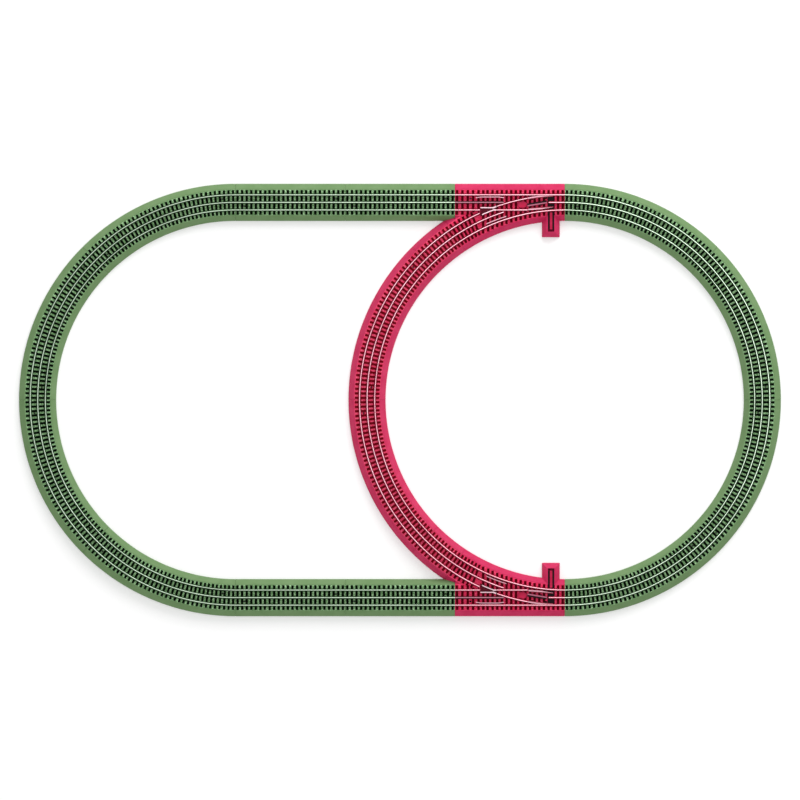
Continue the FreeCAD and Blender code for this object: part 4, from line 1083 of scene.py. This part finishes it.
def centre_rails(hand):
    """A turnout's fixed centre rails: the one on the straight route's exit is dull, the others bright."""
    def dull(middle):
        on_straight_route = abs(abs(middle.y) - CURVE_RADIUS) < RAIL_FOOT + MM
        return on_straight_route and middle.x < HALF_OVAL + EXIT_CENTRE_START + MM

    node = f"{hand}_turnout_centre_rails"
    for name, material, slot, keep in (
            ("straight_centre_rail", DULL_RAIL, "dull_rail_metal", dull),
            ("loop_centre_rails", CRIMSON_RAIL, "rail_metal", lambda middle: not dull(middle))):
        mesh = copied(node, keep)
        smooth(mesh, SHARP_EDGE)
        show(f"{hand}_{name}", mesh, material, replaced=(node,))


def turnout_fittings():
    """The metal and moulded pieces of both turnouts, each with its edges rounded by so many mm."""
    kinds = (("frog", "frog_casting", FROG_METAL, "frog_metal", 0.3),
             ("guard_rails", "check_rails", FITTING_METAL, "rail_metal", 0.7),
             ("point_blades", "switch_blades", FITTING_METAL, "rail_metal", 0.7),
             ("centre_blade", "centre_switch_rail", CENTRE_BLADE_METAL, "dull_rail_metal", 0.3),
             ("swivel_frame", "swivel_plate", BLACK, "black_plastic", 0.2),
             ("pivot_cap", "pivot_cover", CRIMSON_TRIM, "crimson_trim", 0.4),
             ("throw_bar", "slide_bar", BLACK, "black_plastic", 0.25),
             ("throw_grip", "finger_grip", CRIMSON_TRIM, "crimson_trim", 0.2))
    for hand in ("left", "right"):
        for node, name, material, slot, width in kinds:
            bevelled(f"{hand}_turnout_{node}", f"{hand}_{name}", material, width * MM)
        centre_rails(hand)


def paint_rails():
    """The CAD rails, pins, straps and small steel pieces keep their shape and take their finish."""
    finishes = dict.fromkeys(("rail_pins", "bus_straps", "detent_springs", "retainer_screws"), PLATED)
    # the retainers are painted near-black as painted shade inside the slot
    finishes["slide_retainers"] = SHADED_RETAINER_STEEL
    for name, node in frame["nodes"].items():
        if not node.hide_render:
            crimson = name.startswith(("loop", "fitter", "left", "right"))
            for slot in node.material_slots:
                slot.material = finishes.get(name, CRIMSON_RAIL if crimson else RAIL)


# ---- stage ----
def floor():
    material, tree, shader = nodes_of("studio_floor")
    place = add(tree, "ShaderNodeTexCoord").outputs["Object"]
    colour = mixed(tree, noise(tree, place, 3.0), (0.97, 0.97, 0.97), (0.99, 0.99, 0.99))
    tree.links.new(colour, shader.inputs["Base Color"])
    shader.inputs["Roughness"].default_value = 0.9
    corners = [(x * FLOOR_HALF, y * FLOOR_HALF, FLOOR_Z) for x, y in ((-1, -1), (1, -1), (1, 1), (-1, 1))]
    mesh = to_mesh("floor", corners, [[0, 1, 2, 3]])
    mesh.materials.append(material)
    plane = bpy.data.objects.new("studio_floor", mesh)
    bpy.context.scene.collection.objects.link(plane)


def area_light(name, place, target, size, radiance):
    """A rectangular softbox facing the target, as bright as radiance from any side it lights."""
    data = bpy.data.lights.new(name, "AREA")
    data.shape = "RECTANGLE"
    data.size, data.size_y = size
    data.energy = radiance * math.pi * size[0] * size[1]
    light = bpy.data.objects.new(name, data)
    bpy.context.scene.collection.objects.link(light)
    light.location = place
    light.rotation_euler = (Vector(target) - Vector(place)).to_track_quat("-Z", "Y").to_euler()
    light.visible_camera = False


def lights():
    area_light("overhead", place=(0.75, 0.55, 4.4), target=(0.6, 0.4, 0), size=(1.7, 1.3), radiance=2.3)
    area_light("key", place=(2.6, 6.4, 3.4), target=(0, 0, 0), size=(6.0, 2.6), radiance=7.8)
    world = bpy.data.worlds.new("studio")
    world.use_nodes = True
    tree = world.node_tree
    lit = tree.nodes["Background"]
    lit.inputs["Color"].default_value = (1, 1, 1, 1)
    lit.inputs["Strength"].default_value = SKY_STRENGTH
    seen = add(tree, "ShaderNodeBackground", Color=(1, 1, 1, 1), Strength=1.0)
    ray = add(tree, "ShaderNodeLightPath")
    choose = add(tree, "ShaderNodeMixShader")
    tree.links.new(ray.outputs["Is Camera Ray"], choose.inputs[0])
    tree.links.new(lit.outputs[0], choose.inputs[1])
    tree.links.new(seen.outputs[0], choose.inputs[2])
    tree.links.new(choose.outputs[0], tree.nodes["World Output"].inputs["Surface"])
    bpy.context.scene.world = world


def camera():
    """Straight down, with the layout's length filling most of the square picture."""
    data = bpy.data.cameras.new("camera")
    data.type = "ORTHO"
    data.ortho_scale = (HIGH.x - LOW.x) * PICTURE_WIDTH
    eye = bpy.data.objects.new("camera", data)
    bpy.context.scene.collection.objects.link(eye)
    eye.location = (0, 0, CAMERA_HEIGHT)
    bpy.context.scene.camera = eye


plain_sections()
turnouts()
turnout_fittings()
paint_rails()
floor()
lights()
camera()
bpy.context.scene.view_settings.view_transform = "Standard"
